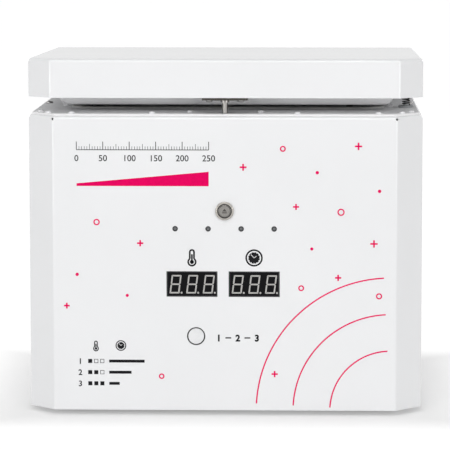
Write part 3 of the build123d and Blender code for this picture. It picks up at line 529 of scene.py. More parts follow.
CASE_WHITE = PowderCoat("case_white", (0.86, 0.865, 0.875))
# The plate is the case's white made lighter, as painted light in the lid's shade.
PLATE_PAINTED_LIGHT = PowderCoat("plate_white_painted_light", (0.9, 0.9, 0.905), roughness=0.6, shine=0.15)
# The pan is the case's white made darker, as painted shade under the lid.
PAN_PAINTED_SHADE = PowderCoat("pan_white_painted_shade", (0.84, 0.84, 0.85), roughness=0.3)
STAINLESS = BrushedMetal("brushed_stainless", (0.60, 0.60, 0.61))
ZINC = PlatedMetal("zinc_plate", (0.26, 0.26, 0.255))
NICKEL = PolishedMetal("turned_nickel", (0.25, 0.24, 0.228))
# Near-black steel as painted shade: the striker bracket and the spring cup sit in the shade under
# the lid.
SHADE_DARK_STEEL = PlatedMetal("steel_darkened_as_painted_shade", (0.075, 0.068, 0.062), roughness=0.42)
PIN_STEEL = PolishedMetal("pin_steel", (0.27, 0.262, 0.25), roughness=0.3)
# The spring is near black as painted shade: it stands in the shade under the lid.
SPRING_IN_PAINTED_SHADE = PolishedMetal("spring_steel_in_painted_shade", (0.04, 0.037, 0.034), roughness=0.34)
SILICONE = Moulded("pale_silicone", (0.58, 0.575, 0.56), roughness=0.5)
# Black rubber for the two seals, whose black also paints shade in the gaps round the key and the
# button.
SEAL_AND_SHADE_RUBBER = Moulded("seal_rubber_and_painted_shade", (0.022, 0.02, 0.02), roughness=0.62)
FOOT_RUBBER = Moulded("foot_rubber", (0.03, 0.03, 0.031), roughness=0.75, texture=0.00005)
FIBRE = Fibre("ceramic_fibre", (0.82, 0.81, 0.76))
HEATER = Moulded("heater_mica", (0.30, 0.17, 0.09), roughness=0.45)
DISPLAY_RESIN = GlossPlastic("display_resin", (0.006, 0.006, 0.007), roughness=0.3, shine=0.06)
LAMP_RESIN = GlossPlastic("lamp_resin", (0.16, 0.165, 0.17), roughness=0.2, shine=0.3)
KEY_PLASTIC = GlossPlastic("key_plastic", (0.84, 0.845, 0.855), roughness=0.34)
BLACK_PLASTIC = Moulded("black_plastic", (0.02, 0.02, 0.022), roughness=0.55)
GREY_PLASTIC = Moulded("grey_plastic", (0.2, 0.205, 0.21))
GREEN_PLASTIC = Moulded("green_plastic", (0.04, 0.22, 0.08))
TAPE = Moulded("winding_tape", (0.62, 0.46, 0.06), roughness=0.35)
ALLOY = BrushedMetal("extruded_alloy", (0.66, 0.665, 0.68), grain=(500.0, 5.0, 500.0))
BRASS = PlatedMetal("turned_brass", (0.62, 0.45, 0.19))
BOARD = Laminate("board_laminate", (0.015, 0.12, 0.05))
BLACK_INK = Ink("black_ink", (0.012, 0.012, 0.014))
MAGENTA_INK = Ink("magenta_ink", (0.82, 0.0, 0.115))
SEGMENT = Ink("resting_segment", (0.5, 0.49, 0.475))
WHITE_INK = Ink("white_ink", (0.84, 0.84, 0.85))
DARK_ETCH = PlatedMetal("dark_etch", (0.09, 0.085, 0.08), roughness=0.5)
SCREW_ZINC = PlatedMetal("screw_zinc", (0.36, 0.355, 0.35), roughness=0.3)
DISPLAY_RIM = Moulded("display_rim", (0.016, 0.015, 0.019), roughness=0.5)

SLOT_FINISH: dict[str, Finish] = {
    "white_coat": CASE_WHITE,
    "plate_coat": PLATE_PAINTED_LIGHT,
    "pan_coat": PAN_PAINTED_SHADE,
    "stainless": STAINLESS,
    "zinc_steel": ZINC,
    "nickel": NICKEL,
    "silicone": SILICONE,
    "foot_rubber": FOOT_RUBBER,
    "ceramic_fibre": FIBRE,
    "heater_foil": HEATER,
    "display_face": DISPLAY_RESIN,
    "lamp_lens": LAMP_RESIN,
    "key_cap": KEY_PLASTIC,
    "board_laminate": BOARD,
    "black_plastic": BLACK_PLASTIC,
    "grey_plastic": GREY_PLASTIC,
    "green_plastic": GREEN_PLASTIC,
    "winding_tape": TAPE,
    "alloy": ALLOY,
    "brass_metal": BRASS,
}

# The striker bracket, the spring cup and the spring are darkened here as painted shade under the
# lid.
NODE_FINISH: dict[str, Finish] = {
    "striker_bracket": SHADE_DARK_STEEL,
    "spring_cup": SHADE_DARK_STEEL,
    "latch_pin": PIN_STEEL,
    "pop_up_spring": SPRING_IN_PAINTED_SHADE,
    "spring_seat": GREY_PLASTIC,
}

TURNED_COLOURS: dict[str, Colour] = {
    "open_button_bezel": (0.42, 0.40, 0.37),
    "open_button_cap": (0.27, 0.26, 0.245),
}


# ---------------------------------------------------------------- the studio


@dataclass
class Studio:
    """The pale floor, the soft lamps and the camera."""

    frame_pixels: int = 450
    sensor: float = 36.0
    focus_pixels: float = 2676.6
    distance: float = 2.0092
    camera_x: float = 0.0692
    camera_height: float = 0.389
    tilt: float = 0.10345
    turn: float = 0.0253
    shift: Point = (-0.053, -0.1)
    clip: Pair = (0.05, 200.0)
    aim: Place = (0.0, 0.0, 0.15)
    # Each lamp's name, place, width and height, and power in watts.
    lamp_list: tuple[tuple[str, Place, Pair, float], ...] = (
        ("left_lamp", (-1.65, -1.75, 0.37), (0.22, 0.7), 10.0),
        ("right_lamp", (1.65, -1.75, 0.37), (0.22, 0.7), 9.3),
        ("top_lamp", (-0.1, -1.65, 1.95), (1.5, 0.35), 10.5),
        ("rear_left_lamp", (-1.6, 1.8, 0.9), (0.9, 0.9), 7.0),
        ("rear_right_lamp", (1.6, 1.8, 0.9), (0.9, 0.9), 7.0),
        ("low_lamp", (0.1, -2.6, 0.67), (2.4, 1.3), 2.4),
    )
    sky_strength: float = 0.47
    floor_size: float = 80.0
    floor_white: float = 0.92
    floor_roughness: float = 0.9
    floor_shine: float = 0.1
    floor_glow: float = 1.16
    # The floor glows less near the case than far from it: painted shade round the case's foot.
    glow_in_painted_shade: float = 0.26
    glow_far: float = 0.78
    painted_shade_reach: float = 0.075

    def camera(self) -> None:
        """Place the camera in front of the case, a little above the lid and to its right."""
        front_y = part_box("case_shell")[0].y
        data = bpy.data.cameras.new("camera")
        data.sensor_width = self.sensor
        data.lens = self.focus_pixels * self.sensor / self.frame_pixels
        data.shift_x, data.shift_y = self.shift
        data.clip_start, data.clip_end = self.clip
        camera = placed("camera", data)
        camera.location = (self.camera_x, front_y - self.distance, self.camera_height)
        camera.rotation_euler = (math.pi / 2 - self.tilt, 0, self.turn)
        bpy.context.scene.camera = camera

    def lamps(self) -> None:
        """Hang the soft lamps and aim them at the case."""
        for name, place, (width, height), power in self.lamp_list:
            data = bpy.data.lights.new(name, "AREA")
            data.shape = "RECTANGLE"
            data.size, data.size_y = width, height
            data.energy = power
            lamp = placed(name, data)
            lamp.location = place
            run = Vector(self.aim) - Vector(place)
            lamp.rotation_euler = run.to_track_quat("-Z", "Y").to_euler()

    def sky(self) -> None:
        """Light everything from a surround that mirrors and the camera see as plain white."""
        world = bpy.data.worlds.new("studio")
        bpy.context.scene.world = world
        world.use_nodes = True
        tree = world.node_tree
        wiring = Wiring(tree)
        lit = tree.nodes["Background"]
        lit.inputs["Color"].default_value = WHITE
        lit.inputs["Strength"].default_value = self.sky_strength
        seen = wiring.through("ShaderNodeBackground", WHITE, 1.0)
        mix = wiring.through("ShaderNodeMixShader", wiring.seen_first(), lit.outputs[0], seen)
        wiring.join(mix, tree.nodes["World Output"].inputs["Surface"])

    def away(self, graph: NodeGraph) -> Socket:
        """Grow the floor's share of glow with the distance from what stands on it; the low glow
        near it is painted shade round the case.

        Args:
            graph: The floor's node graph.

        Returns:
            The share.
        """
        low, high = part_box("case_shell")[0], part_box("back_panel")[1]
        vector = "ShaderNodeVectorMath"
        place = graph.through(vector, graph.coordinates, (low + high) / 2, operation="SUBTRACT")
        size = graph.through(vector, place, operation="ABSOLUTE")
        beyond = graph.through(vector, size, (high - low) / 2, operation="SUBTRACT")
        axes = graph.add("ShaderNodeSeparateXYZ")
        graph.join(beyond, axes.inputs[0])
        across, along = axes.outputs["X"], axes.outputs["Y"]
        furthest = graph.through("ShaderNodeMath", across, along, operation="MAXIMUM")
        return graph.through(
            "ShaderNodeMapRange", furthest, 0.0, self.painted_shade_reach, self.glow_in_painted_shade, self.glow_far,
            interpolation_type="SMOOTHSTEP",
        )

    def floor(self) -> None:
        """Lay a white floor that keeps the contact shadow, with painted shade round the case where
        its glow is low.
        """
        shape = bmesh.new()
        bmesh.ops.create_grid(shape, x_segments=1, y_segments=1, size=self.floor_size / 2)
        mesh = bpy.data.meshes.new("studio_floor")
        shape.to_mesh(mesh)
        shape.free()
        floor = placed("studio_floor", mesh)
        graph = NodeGraph("studio_floor")
        graph.put("Base Color", (*(self.floor_white,) * 3, 1))
        graph.put("Roughness", self.floor_roughness)
        graph.put("Specular IOR Level", self.floor_shine)
        glow = graph.add("ShaderNodeEmission")
        glow.inputs["Strength"].default_value = self.floor_glow
        seen, away = graph.seen_first(), self.away(graph)
        share = graph.through("ShaderNodeMath", seen, away, operation="MULTIPLY")
        mix = graph.through("ShaderNodeMixShader", share, graph.shader.outputs[0], glow.outputs[0])
        graph.join(mix, graph.output.inputs["Surface"])
        mesh.materials.append(graph.material)

    def build(self) -> None:
        """Make the whole studio."""
        self.camera()
        self.lamps()
        self.sky()
        self.floor()
        bpy.context.scene.view_settings.view_transform = "Standard"


# ---------------------------------------------------------------- shaping


class Facing(Enum):
    """The ways in which a round piece can face."""

    UP = (0.0, 0.0, 1.0)
    DOWN = (0.0, 0.0, -1.0)
    FRONT = (0.0, -1.0, 0.0)
    BACK = (0.0, 1.0, 0.0)

    def turned(self, place: Sequence[float]) -> Matrix:
        """Return the matrix that turns +Z this way and then moves to a place."""
        turn = Vector((0, 0, 1)).rotation_difference(Vector(self.value)).to_matrix().to_4x4()
        return Matrix.Translation(place) @ turn


class Form:
    """A mesh in the making, measured in millimetres, which ends as one piece of the object."""

    def __init__(self) -> None:
        """Start an empty mesh."""
        self.shape = bmesh.new()

    def since(self, known: set[bmesh.types.BMVert]) -> list[bmesh.types.BMVert]:
        """Return the points made since a set of them was taken."""
        return [vert for vert in self.shape.verts if vert not in known]

    def lathe(self, profile: Sequence[Point], where: Matrix, steps: int) -> None:
        """Turn a profile about +Z and put the result in place.

        Args:
            profile: Points of radius and height, from one end to the other.
            where: The matrix that places the turned shape.
            steps: The number of steps round.
        """
        known = set(self.shape.verts)
        verts = [self.shape.verts.new((radius, 0, height)) for radius, height in profile]
        edges = [self.shape.edges.new(pair) for pair in zip(verts, verts[1:])]
        bmesh.ops.spin(
            self.shape, geom=verts + edges, cent=(0, 0, 0), axis=(0, 0, 1), angle=2 * math.pi,
            steps=steps, use_merge=True,
        )
        bmesh.ops.remove_doubles(self.shape, verts=self.since(known), dist=WELD_MM)
        bmesh.ops.transform(self.shape, matrix=where, verts=self.since(known))

    def box(self, low: Sequence[float], high: Sequence[float], edge: float, steps: int = 2) -> None:
        """Add a block between two corners, with its edges rounded.

        Args:
            low: The lowest corner.
            high: The highest corner.
            edge: The radius of its edges.
            steps: The segments across each edge.
        """
        low, high = Vector(low), Vector(high)
        where = Matrix.Translation((low + high) / 2) @ Matrix.Diagonal((*(high - low), 1))
        made = bmesh.ops.create_cube(self.shape, size=1.0, matrix=where)["verts"]
        edges = dict.fromkeys(line for vert in made for line in vert.link_edges)
        bmesh.ops.bevel(
            self.shape, geom=list(edges), offset=edge, segments=steps, profile=0.5, affect="EDGES",
            material=-1,
        )

    def take(self, mesh: bpy.types.Mesh, where: Matrix) -> None:
        """Add what another mesh holds and remove that mesh.

        Args:
            mesh: The other mesh.
            where: The matrix that places what it holds.
        """
        known = set(self.shape.verts)
        self.shape.from_mesh(mesh)
        bmesh.ops.transform(self.shape, matrix=where, verts=self.since(known))
        bpy.data.meshes.remove(mesh)

    def outward(self) -> None:
        """Turn every face of a closed shape outward."""
        bmesh.ops.recalc_face_normals(self.shape, faces=self.shape.faces)

    def finish(
        self,
        name: str,
        finish: Finish,
        body: str,
        slot: str | None = None,
        replaces: Sequence[str] = (),
    ) -> bpy.types.Object:
        """Make the piece's object, in metres, and tie it to a body.

        Args:
            name: The piece's name.
            finish: The finish that it is given.
            body: The body that it moves with.
            slot: The record's slot; it is not used.
            replaces: The nodes that it stands for.

        Returns:
            The piece's object.
        """
        bmesh.ops.scale(self.shape, vec=(MM, MM, MM), verts=self.shape.verts)
        mesh = bpy.data.meshes.new(name)
        self.shape.to_mesh(mesh)
        self.shape.free()
        mesh.shade_smooth()
        mesh.set_sharp_from_angle(angle=SHARP_ANGLE)
        mesh.materials.append(finish.material())
        piece = placed(name, mesh)
        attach(piece, body)
        if replaces:
            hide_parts(*replaces)
        log.info("%s: %d faces on %s", name, len(mesh.polygons), body)
        return piece


class InkPrint(Form):
    """Flat ink on an upright panel, drawn in millimetres across and up as seen from the front."""

    def disc(self, x: float, z: float, radius: float) -> None:
        """Print a filled circle.

        Args:
            x: Its centre, across.
            z: Its centre, up.
            radius: Its radius.
        """
        where = Matrix.Translation((x, 0, z)) @ UPRIGHT
        bmesh.ops.create_circle(
            self.shape, cap_ends=True, radius=radius, segments=DISC_STEPS, matrix=where
        )

    def arc(
        self, x: float, z: float, radius: float, line: float, start: float = 0, sweep: float = 360
    ) -> None:
        """Print a round line.

        Args:
            x: Its centre, across.
            z: Its centre, up.
            radius: The radius of the line's middle.
            line: The line's width.
            start: The angle where it starts, in degrees, from the right and to the left.
            sweep: The angle that it covers.
        """
        across, up = math.cos(math.radians(start)), math.sin(math.radians(start))
        ends = [
            self.shape.verts.new((x + across * reach, 0, z + up * reach))
            for reach in (radius - line / 2, radius + line / 2)
        ]
        edge = self.shape.edges.new(ends)
        steps = max(6, round(sweep * radius / 40 + sweep / 12))
        bmesh.ops.spin(
            self.shape, geom=[*ends, edge], cent=(x, 0, z), axis=(0, -1, 0),
            angle=math.radians(sweep), steps=steps, use_merge=sweep >= 360,
        )

    def line(self, start: Point, end: Point, width: float, rounded: bool = False) -> None:
        """Print a straight line between two points.

        Args:
            start: Its first end.
            end: Its last end.
            width: Its width.
            rounded: Whether its ends are round.
        """
        run = Vector((end[0] - start[0], 0, end[1] - start[1]))
        middle = Vector(((start[0] + end[0]) / 2, 0, (start[1] + end[1]) / 2))
        turn = Matrix.Rotation(-math.atan2(run.z, run.x), 4, "Y") @ UPRIGHT
        where = Matrix.Translation(middle) @ turn @ Matrix.Diagonal((run.length, width, 1, 1))
        bmesh.ops.create_grid(self.shape, x_segments=1, y_segments=1, size=0.5, matrix=where)
        if rounded:
            self.disc(*start, width / 2)
            self.disc(*end, width / 2)

    def area(self, points: Iterable[Point]) -> None:
        """Print a filled area inside an outline of a few points."""
        self.shape.faces.new([self.shape.verts.new((x, 0, z)) for x, z in points])

    def figures(self, words: str, x: float, z: float, height: float, weight: float) -> None:
        """Print plain figures, centred on a point.

        Args:
            words: The figures.
            x: Their middle, across.
            z: Their middle, up.
            height: The height of a figure.
            weight: The extra thickness of their strokes.
        """
        curve = bpy.data.curves.new("figures", "FONT")
        curve.body = words
        curve.size = height * SIZE_OF_FIGURE
        curve.offset = weight
        curve.resolution_u = 4
        curve.align_x = "CENTER"
        holder = placed("figures", curve)
        bpy.context.view_layer.update()
        flat = bpy.data.meshes.new_from_object(holder)
        self.take(flat, Matrix.Translation((x, 0, z - height / 2)) @ UPRIGHT)
        bpy.data.objects.remove(holder)
        bpy.data.curves.remove(curve)

    def turn_faces(self, side: int) -> None:
        """Turn every face one way.

        Args:
            side: 1 to face the back, or -1 to face the front.
        """
        self.shape.normal_update()
        turned = [face for face in self.shape.faces if face.normal.y * side < 0]
        bmesh.ops.reverse_faces(self.shape, faces=turned)

    def lay(self, name: str, finish: Finish, body: str, y: float) -> bpy.types.Object:
        """Lay the print on a panel, facing the front, and make its object.

        Args:
            name: The piece's name.
            finish: The ink.
            body: The body that it moves with.
            y: The plane that it lies in.

        Returns:
            The print's object.
        """
        self.turn_faces(-1)
        bmesh.ops.translate(self.shape, vec=(0, y, 0), verts=self.shape.verts)
        return self.finish(name, finish, body)


def islands(node: str) -> list[tuple[Vector, Vector]]:
    """Return the corners of each separate solid of a node, in millimetres.

    Args:
        node: The node's name.

    Returns:
        The lowest and the highest corner of each solid, from left to right.
    """
    shape = bmesh.new()
    shape.from_mesh(frame["nodes"][node].data)
    bmesh.ops.remove_doubles(shape, verts=shape.verts, dist=WELD_METRES)
    waiting = set(shape.verts)
    boxes = []
    while waiting:
        edge_of_search = [waiting.pop()]
        group = []
        while edge_of_search:
            vert = edge_of_search.pop()
            group.append(vert.co / MM)
            for line in vert.link_edges:
                other = line.other_vert(vert)
                if other in waiting:
                    waiting.remove(other)
                    edge_of_search.append(other)
        low = Vector(min(point[axis] for point in group) for axis in range(3))
        high = Vector(max(point[axis] for point in group) for axis in range(3))
        boxes.append((low, high))
    shape.free()
    return sorted(boxes, key=lambda box: tuple(box[0]))


# ---------------------------------------------------------------- the frame's own nodes


@dataclass
class FrameFinishes:
    """Gives each node of the frame the finish of its slot, or one of its own."""

    def build(self) -> None:
        """Put a finish on every node."""
        for part in frame["record"]["subparts"]:
            node = frame["nodes"][part["node"]]
            finish = NODE_FINISH.get(part["node"], SLOT_FINISH[part["material_slot"]])
            material = finish.material()
            if not node.material_slots:
                node.data.materials.append(material)
            for slot in node.material_slots:
                slot.material = material
        log.info("finished %d frame nodes", len(frame["nodes"]))


# ---------------------------------------------------------------- the front panel's print


@dataclass
class PanelPrint:
    """The black print on the front panel: a scale, three programs, two icons and the key's figures.

    The icons' sizes are those of the large ones above the displays. The pair of sizes of figures is
    their height and their extra weight. That of a ring, the column or a dash is its radius or its
    length, and its line.
    """

    scale_left: float = -112.0
    scale_length: float = 100.0
    scale_z: float = 203.0
    scale_step: float = 2.0
    scale_line: float = 0.55
    scale_fine_line: float = 0.35
    scale_ticks: tuple[float, float, float] = (6.2, 4.4, 2.6)
    scale_figure: Pair = (4.8, 0.06)
    scale_figure_drop: float = 6.2
    degrees_per_step: int = 5
    wedge_z: Pair = (175.5, 186.5)
    wedge_tip: float = 2.0
    thermometer_place: Point = (-24.8, 117.8)
    bulb: float = 2.85
    tube: float = 1.6
    glass: float = 1.3
    tube_top: float = 7.55
    bulb_fill: float = 1.55
    column: Pair = (5.4, 1.25)
    clock_place: Point = (22.3, 121.0)
    clock_ring: Pair = (5.95, 1.26)
    dial: float = 3.9
    hour_ring: Pair = (4.15, 0.55)
    hour_gap: float = 3.5
    hands: tuple[Point, Point] = ((-2.3, 2.5), (1.7, 1.3))
    hand_line: float = 0.5
    programs_left: float = -112.0
    programs_z: float = 41.5
    programs_pitch: float = 8.6
    small_icon: float = 0.62
    small_thermometer: Point = (14.0, 9.6)
    small_clock: Point = (33.0, 12.0)
    program_figure: Pair = (4.4, 0.12)
    program_figure_x: float = 2.0
    block: float = 3.1
    block_line: float = 0.4
    blocks_x: float = 9.5
    blocks_pitch: float = 4.6
    bars_x: float = 24.0
    bars: tuple[float, float, float] = (27.0, 17.0, 8.0)
    bar_line: float = 2.2
    key_figures: Point = (10.0, 59.7)
    key_figure: Pair = (5.0, 0.3)
    key_pitch: float = 14.5
    key_dash: Pair = (4.4, 1.0)

    def __post_init__(self) -> None:
        """Find the panel's plane and start the inks."""
        self.plane = front_plane() - INK_LIFT
        self.black = InkPrint()
        self.magenta = InkPrint()
        self.white = InkPrint()

    def temperature_scale(self) -> None:
        """Print a ruled scale with plain figures over a rising wedge."""
        right = self.scale_left + self.scale_length
        self.black.line((self.scale_left, self.scale_z), (right, self.scale_z), self.scale_line)
        long, medium, short = self.scale_ticks
        for step in range(int(self.scale_length / self.scale_step) + 1):
            x = self.scale_left + step * self.scale_step
            major, middle = step % 10 == 0, step % 5 == 0
            top = self.scale_z + (long if major else medium if middle else short)
            weight = self.scale_line if major else self.scale_fine_line
            self.black.line((x, self.scale_z), (x, top), weight)
            if major:
                words = str(step * self.degrees_per_step)
                below = self.scale_z - self.scale_figure_drop
                self.black.figures(words, x, below, *self.scale_figure)
        low, high = self.wedge_z
        left = self.scale_left
        self.magenta.area([(left, low), (right, low), (right, high), (left, low + self.wedge_tip)])

    def thermometer(self, x: float, z: float, scale: float = 1.0) -> None:
        """Print a thermometer whose bulb is centred on a point.

        Args:
            x: The bulb's centre, across.
            z: The bulb's centre, up.
            scale: Its size against the large icon.
        """
        bulb, tube, line = self.bulb * scale, self.tube * scale, self.glass * scale
        top = z + self.tube_top * scale
        opening = math.degrees(math.asin(tube / bulb))
        self.black.arc(x, z, bulb, line, 90 + opening, 360 - 2 * opening)
        self.black.arc(x, top, tube, line, 0, 180)
        shoulder = z + bulb * math.cos(math.radians(opening))
        for side in (-1, 1):
            self.black.line((x + side * tube, shoulder), (x + side * tube, top), line)
        self.black.disc(x, z, self.bulb_fill * scale)
        height, width = self.column
        self.black.line((x, z), (x, z + height * scale), width * scale, rounded=True)

    def clock(self, x: float, z: float, scale: float = 1.0) -> None:
        """Print a clock face centred on a point.

        Args:
            x: Its centre, across.
            z: Its centre, up.
            scale: Its size against the large icon.
        """
        radius, line = self.clock_ring
        self.black.arc(x, z, radius * scale, line * scale)
        self.black.disc(x, z, self.dial * scale)
        radius, line = self.hour_ring
        for hour in range(12):
            start = hour * 30 + self.hour_gap
            self.black.arc(x, z, radius * scale, line * scale, start, 30 - 2 * self.hour_gap)
        for across, up in self.hands:
            end = (x + across * scale, z + up * scale)
            self.white.line((x, z), end, self.hand_line * scale, rounded=True)

    def heat_block(self, x: float, z: float, filled: bool) -> None:
        """Print one small square.

        Args:
            x: Its centre, across.
            z: Its centre, up.
            filled: Whether it is filled, and not an outline.
        """
        half = self.block / 2
        if filled:
            self.black.line((x - half, z), (x + half, z), self.block)
            return
        inset = half - self.block_line / 2
        for side in (-inset, inset):
            self.black.line((x - half, z + side), (x + half, z + side), self.block_line)
            self.black.line((x + side, z - half), (x + side, z + half), self.block_line)

    def programs(self) -> None:
        """Print the three numbered programs, each with its heat in blocks and its time as a bar."""
        left, top = self.programs_left, self.programs_z
        across, up = self.small_thermometer
        self.thermometer(left + across, top + up, self.small_icon)
        across, up = self.small_clock
        self.clock(left + across, top + up, self.small_icon)
        for row, bar in enumerate(self.bars):
            z = top - row * self.programs_pitch
            self.black.figures(str(row + 1), left + self.program_figure_x, z, *self.program_figure)
            for block in range(3):
                self.heat_block(left + self.blocks_x + block * self.blocks_pitch, z, block <= row)
            start = left + self.bars_x
            self.black.line((start, z), (start + bar, z), self.bar_line)

    def key_label(self) -> None:
        """Print the figures beside the program key, with a dash between each two."""
        x, z = self.key_figures
        for place, figure in enumerate("123"):
            self.black.figures(figure, x + (place - 1) * self.key_pitch, z, *self.key_figure)
        length, line = self.key_dash
        for side in (-1, 1):
            middle = x + side * self.key_pitch / 2
            self.black.line((middle - length / 2, z), (middle + length / 2, z), line)

    def build(self) -> None:
        """Print everything on the front panel."""
        self.temperature_scale()
        self.thermometer(*self.thermometer_place)
        self.clock(*self.clock_place)
        self.programs()
        self.key_label()
        self.black.lay("front_print_black", BLACK_INK, "case", self.plane)
        self.magenta.lay("scale_wedge", MAGENTA_INK, "case", self.plane)
        self.white.lay("clock_hands", WHITE_INK, "case", self.plane - INK_LIFT)


COMPASS = ((1, 0), (0, 1), (-1, 0), (0, -1))


class Motif(Enum):
    """The small shapes of the panel's decoration."""

    PLUS = "plus"
    RING = "ring"
    DOT = "dot"


@dataclass
class PanelDecoration:
    """A light decoration: ripples from one corner and small shapes scattered over the panel.

    The ripples' angles are their start and their sweep. Each small shape has its place across and
    up, its kind and its width.
    """

    ripple_centre: Point = (126.0, 4.0)
    ripple_radii: tuple[float, ...] = (46.0, 74.0, 102.0)
    ripple_line: float = 1.05
    ripple_angles: Pair = (93.0, 84.0)
    ring_line: float = 1.0
    ring_inset: float = 0.45
    plus_line: float = 1.25
    motifs: tuple[tuple[float, float, Motif, float], ...] = (
        (14.0, 190.0, Motif.PLUS, 5.2),
        (44.0, 204.0, Motif.RING, 4.4),
        (70.0, 186.0, Motif.DOT, 2.6),
        (101.0, 206.0, Motif.PLUS, 5.6),
        (54.0, 160.0, Motif.PLUS, 4.6),
        (88.0, 156.0, Motif.RING, 5.4),
        (117.0, 172.0, Motif.DOT, 2.6),
        (113.0, 132.0, Motif.PLUS, 5.6),
        (66.0, 128.0, Motif.DOT, 2.4),
        (86.0, 106.0, Motif.PLUS, 4.8),
        (58.0, 98.0, Motif.RING, 4.4),
        (117.0, 92.0, Motif.RING, 4.6),
        (38.0, 32.0, Motif.PLUS, 4.8),
        (-64.0, 132.0, Motif.PLUS, 4.8),
        (-97.0, 148.0, Motif.RING, 4.8),
        (-112.0, 108.0, Motif.DOT, 2.6),
        (-74.0, 92.0, Motif.DOT, 2.4),
        (-48.0, 30.0, Motif.RING, 4.2),
        (-120.0, 84.0, Motif.PLUS, 4.4),
    )

    def motif(self, ink: InkPrint, x: float, z: float, kind: Motif, size: float) -> None:
        """Print one small shape.

        Args:
            ink: The print to draw in.
            x: Its centre, across.
            z: Its centre, up.
            kind: Which shape it is.
            size: Its width.
        """
        if kind is Motif.DOT:
            ink.disc(x, z, size / 2)
        elif kind is Motif.RING:
            ink.arc(x, z, size / 2 - self.ring_inset, self.ring_line)
        else:
            arm, half = size / 2, self.plus_line / 2
            quarter = [(arm, -half), (arm, half), (half, half)]
            turns = [(px * c - pz * s, px * s + pz * c) for c, s in COMPASS for px, pz in quarter]
            ink.area([(x + px, z + pz) for px, pz in turns])

    def build(self) -> None:
        """Print the decoration."""
        ink = InkPrint()
        for radius in self.ripple_radii:
            ink.arc(*self.ripple_centre, radius, self.ripple_line, *self.ripple_angles)
        for x, z, kind, size in self.motifs:
            self.motif(ink, x, z, kind, size)
        ink.lay("front_print_magenta", MAGENTA_INK, "case", front_plane() - INK_LIFT)


# ---------------------------------------------------------------- the front panel's parts


@dataclass
class NumberDisplay:
    """One three-figure display module: a dark rim, a black face and unlit segments."""

    node: str
    digit_height: float = 14.1
    digit_width: float = 7.5
    segment: float = 1.08
    joint: float = 0.12
    slant: float = 0.126
    pitch: float = 12.6
    offset: Point = (0.15, -0.2)
    point_gap: float = 2.15
    point_radius: float = 0.75
    ink_lift: float = 0.05
    rim: float = 0.6
    rim_proud: float = 0.12
    rim_sunk: float = 0.02
    rim_edge: float = 0.05

    def outline(
        self, start: Point, end: Point, corners: tuple[bool, bool], middle: bool
    ) -> list[Vector]:
        """Return one segment's outline in the upright figure.

        Args:
            start: Its first joint.
            end: Its last joint.
            corners: Whether each joint is an outer corner, where the segment is mitred.
            middle: Whether it is the middle segment, which is pointed at both ends.

        Returns:
            The outline's points, in order.
        """
        first, last = Vector(start), Vector(end)
        along = (last - first).normalized()
        out = Vector((along.y, -along.x))
        if (first + last).dot(out) < 0:
            out = -out
        half = self.segment / 2
        outline = []
        for joint, inward, corner in ((first, along, corners[0]), (last, -along, corners[1])):
            base = joint + inward * self.joint
            if corner and not middle:
                points = [base + (out - inward) * half, base + (inward - out) * half]
            else:
                points = [base + (inward + out) * half, base, base + (inward - out) * half]
            outline += points if joint is last else points[::-1]
        return outline

    def digit(self, ink: InkPrint, x: float, z: float) -> None:
        """Print the seven segments and the point of one figure.

        Args:
            ink: The print to draw in.
            x: The figure's centre, across.
            z: The figure's centre, up.
        """
        wide = (self.digit_width - self.segment) / 2
        tall = (self.digit_height - self.segment) / 2
        runs = [((-wide, j * tall), (wide, j * tall), (True, True), j == 0) for j in (-1, 0, 1)]
        for side in (-wide, wide):
            runs += [((side, 0), (side, end), (False, True), False) for end in (-tall, tall)]
        for run in runs:
            ink.area([(x + p.x + self.slant * p.y, z + p.y) for p in self.outline(*run)])
        ink.disc(x + wide + self.point_gap - self.slant * tall, z - tall, self.point_radius)

    def build(self) -> None:
        """Make the rim and the segments."""
        low, high = box_mm(self.node)
        x, z = front_middle(low, high)
        segments = InkPrint()
        for place in (-1, 0, 1):
            self.digit(segments, x + self.offset[0] + place * self.pitch, z + self.offset[1])
        segments.lay(f"{self.node}_segments", SEGMENT, "case", low.y - self.ink_lift)
        rim = Form()
        left, right = low.x + self.rim, high.x - self.rim
        face, back = low.y - self.rim_proud, low.y + self.rim_sunk
        for x0, z0, x1, z1 in (
            (low.x, low.z, left, high.z),
            (right, low.z, high.x, high.z),
            (left, low.z, right, low.z + self.rim),
            (left, high.z - self.rim, right, high.z),
        ):
            rim.box((x0, face, z0), (x1, back, z1), self.rim_edge)
        rim.outward()
        rim.finish(f"{self.node}_rim", DISPLAY_RIM, "case")


@dataclass
class StatusLamps:
    """The four small lamps: a black holder round a grey dome.

    The holder's edge is given as distances in from its side and heights above its face.
    """

    lens_radius: float = 1.25
    lens_back: float = 0.6
    dome_height: float = 0.6
    seat: float = 0.45
    lip: Pair = (0.15, 0.1)
    holder_edge: tuple[Pair, ...] = ((0.0, -0.35), (0.15, -0.1), (0.4, 0.0))
    dome_steps: int = 6
    steps: int = 32

    def build(self) -> None:
        """Make the holders and the lenses in place of the plain lamps."""
        holders, lenses = Form(), Form()
        lens = self.lens_radius
        for low, high in islands("status_lamps"):
            radius, length = (high.x - low.x) / 2, high.y - low.y
            x, z = front_middle(low, high)
            where = Facing.FRONT.turned((x, low.y, z))
            edge = [(radius - inset, height) for inset, height in self.holder_edge]
            inside = [(lens + self.lip[0], -self.lip[1]), (lens, -self.seat), (0, -self.seat)]
            holders.lathe([(0, -length), (radius, -length), *edge, *inside], where, self.steps)
            dome = [
                (lens * math.cos(angle), -self.seat + self.dome_height * math.sin(angle))
                for angle in (i * math.pi / 2 / self.dome_steps for i in range(self.dome_steps + 1))
            ]
            lenses.lathe([(0, -self.lens_back), (lens, -self.lens_back), *dome], where, self.steps)
        holders.outward()
        holders.finish("lamp_holders", BLACK_PLASTIC, "case", "lamp_lens", ("status_lamps",))
        lenses.outward()
        lenses.finish("lamp_lenses", LAMP_RESIN, "case", "lamp_lens")


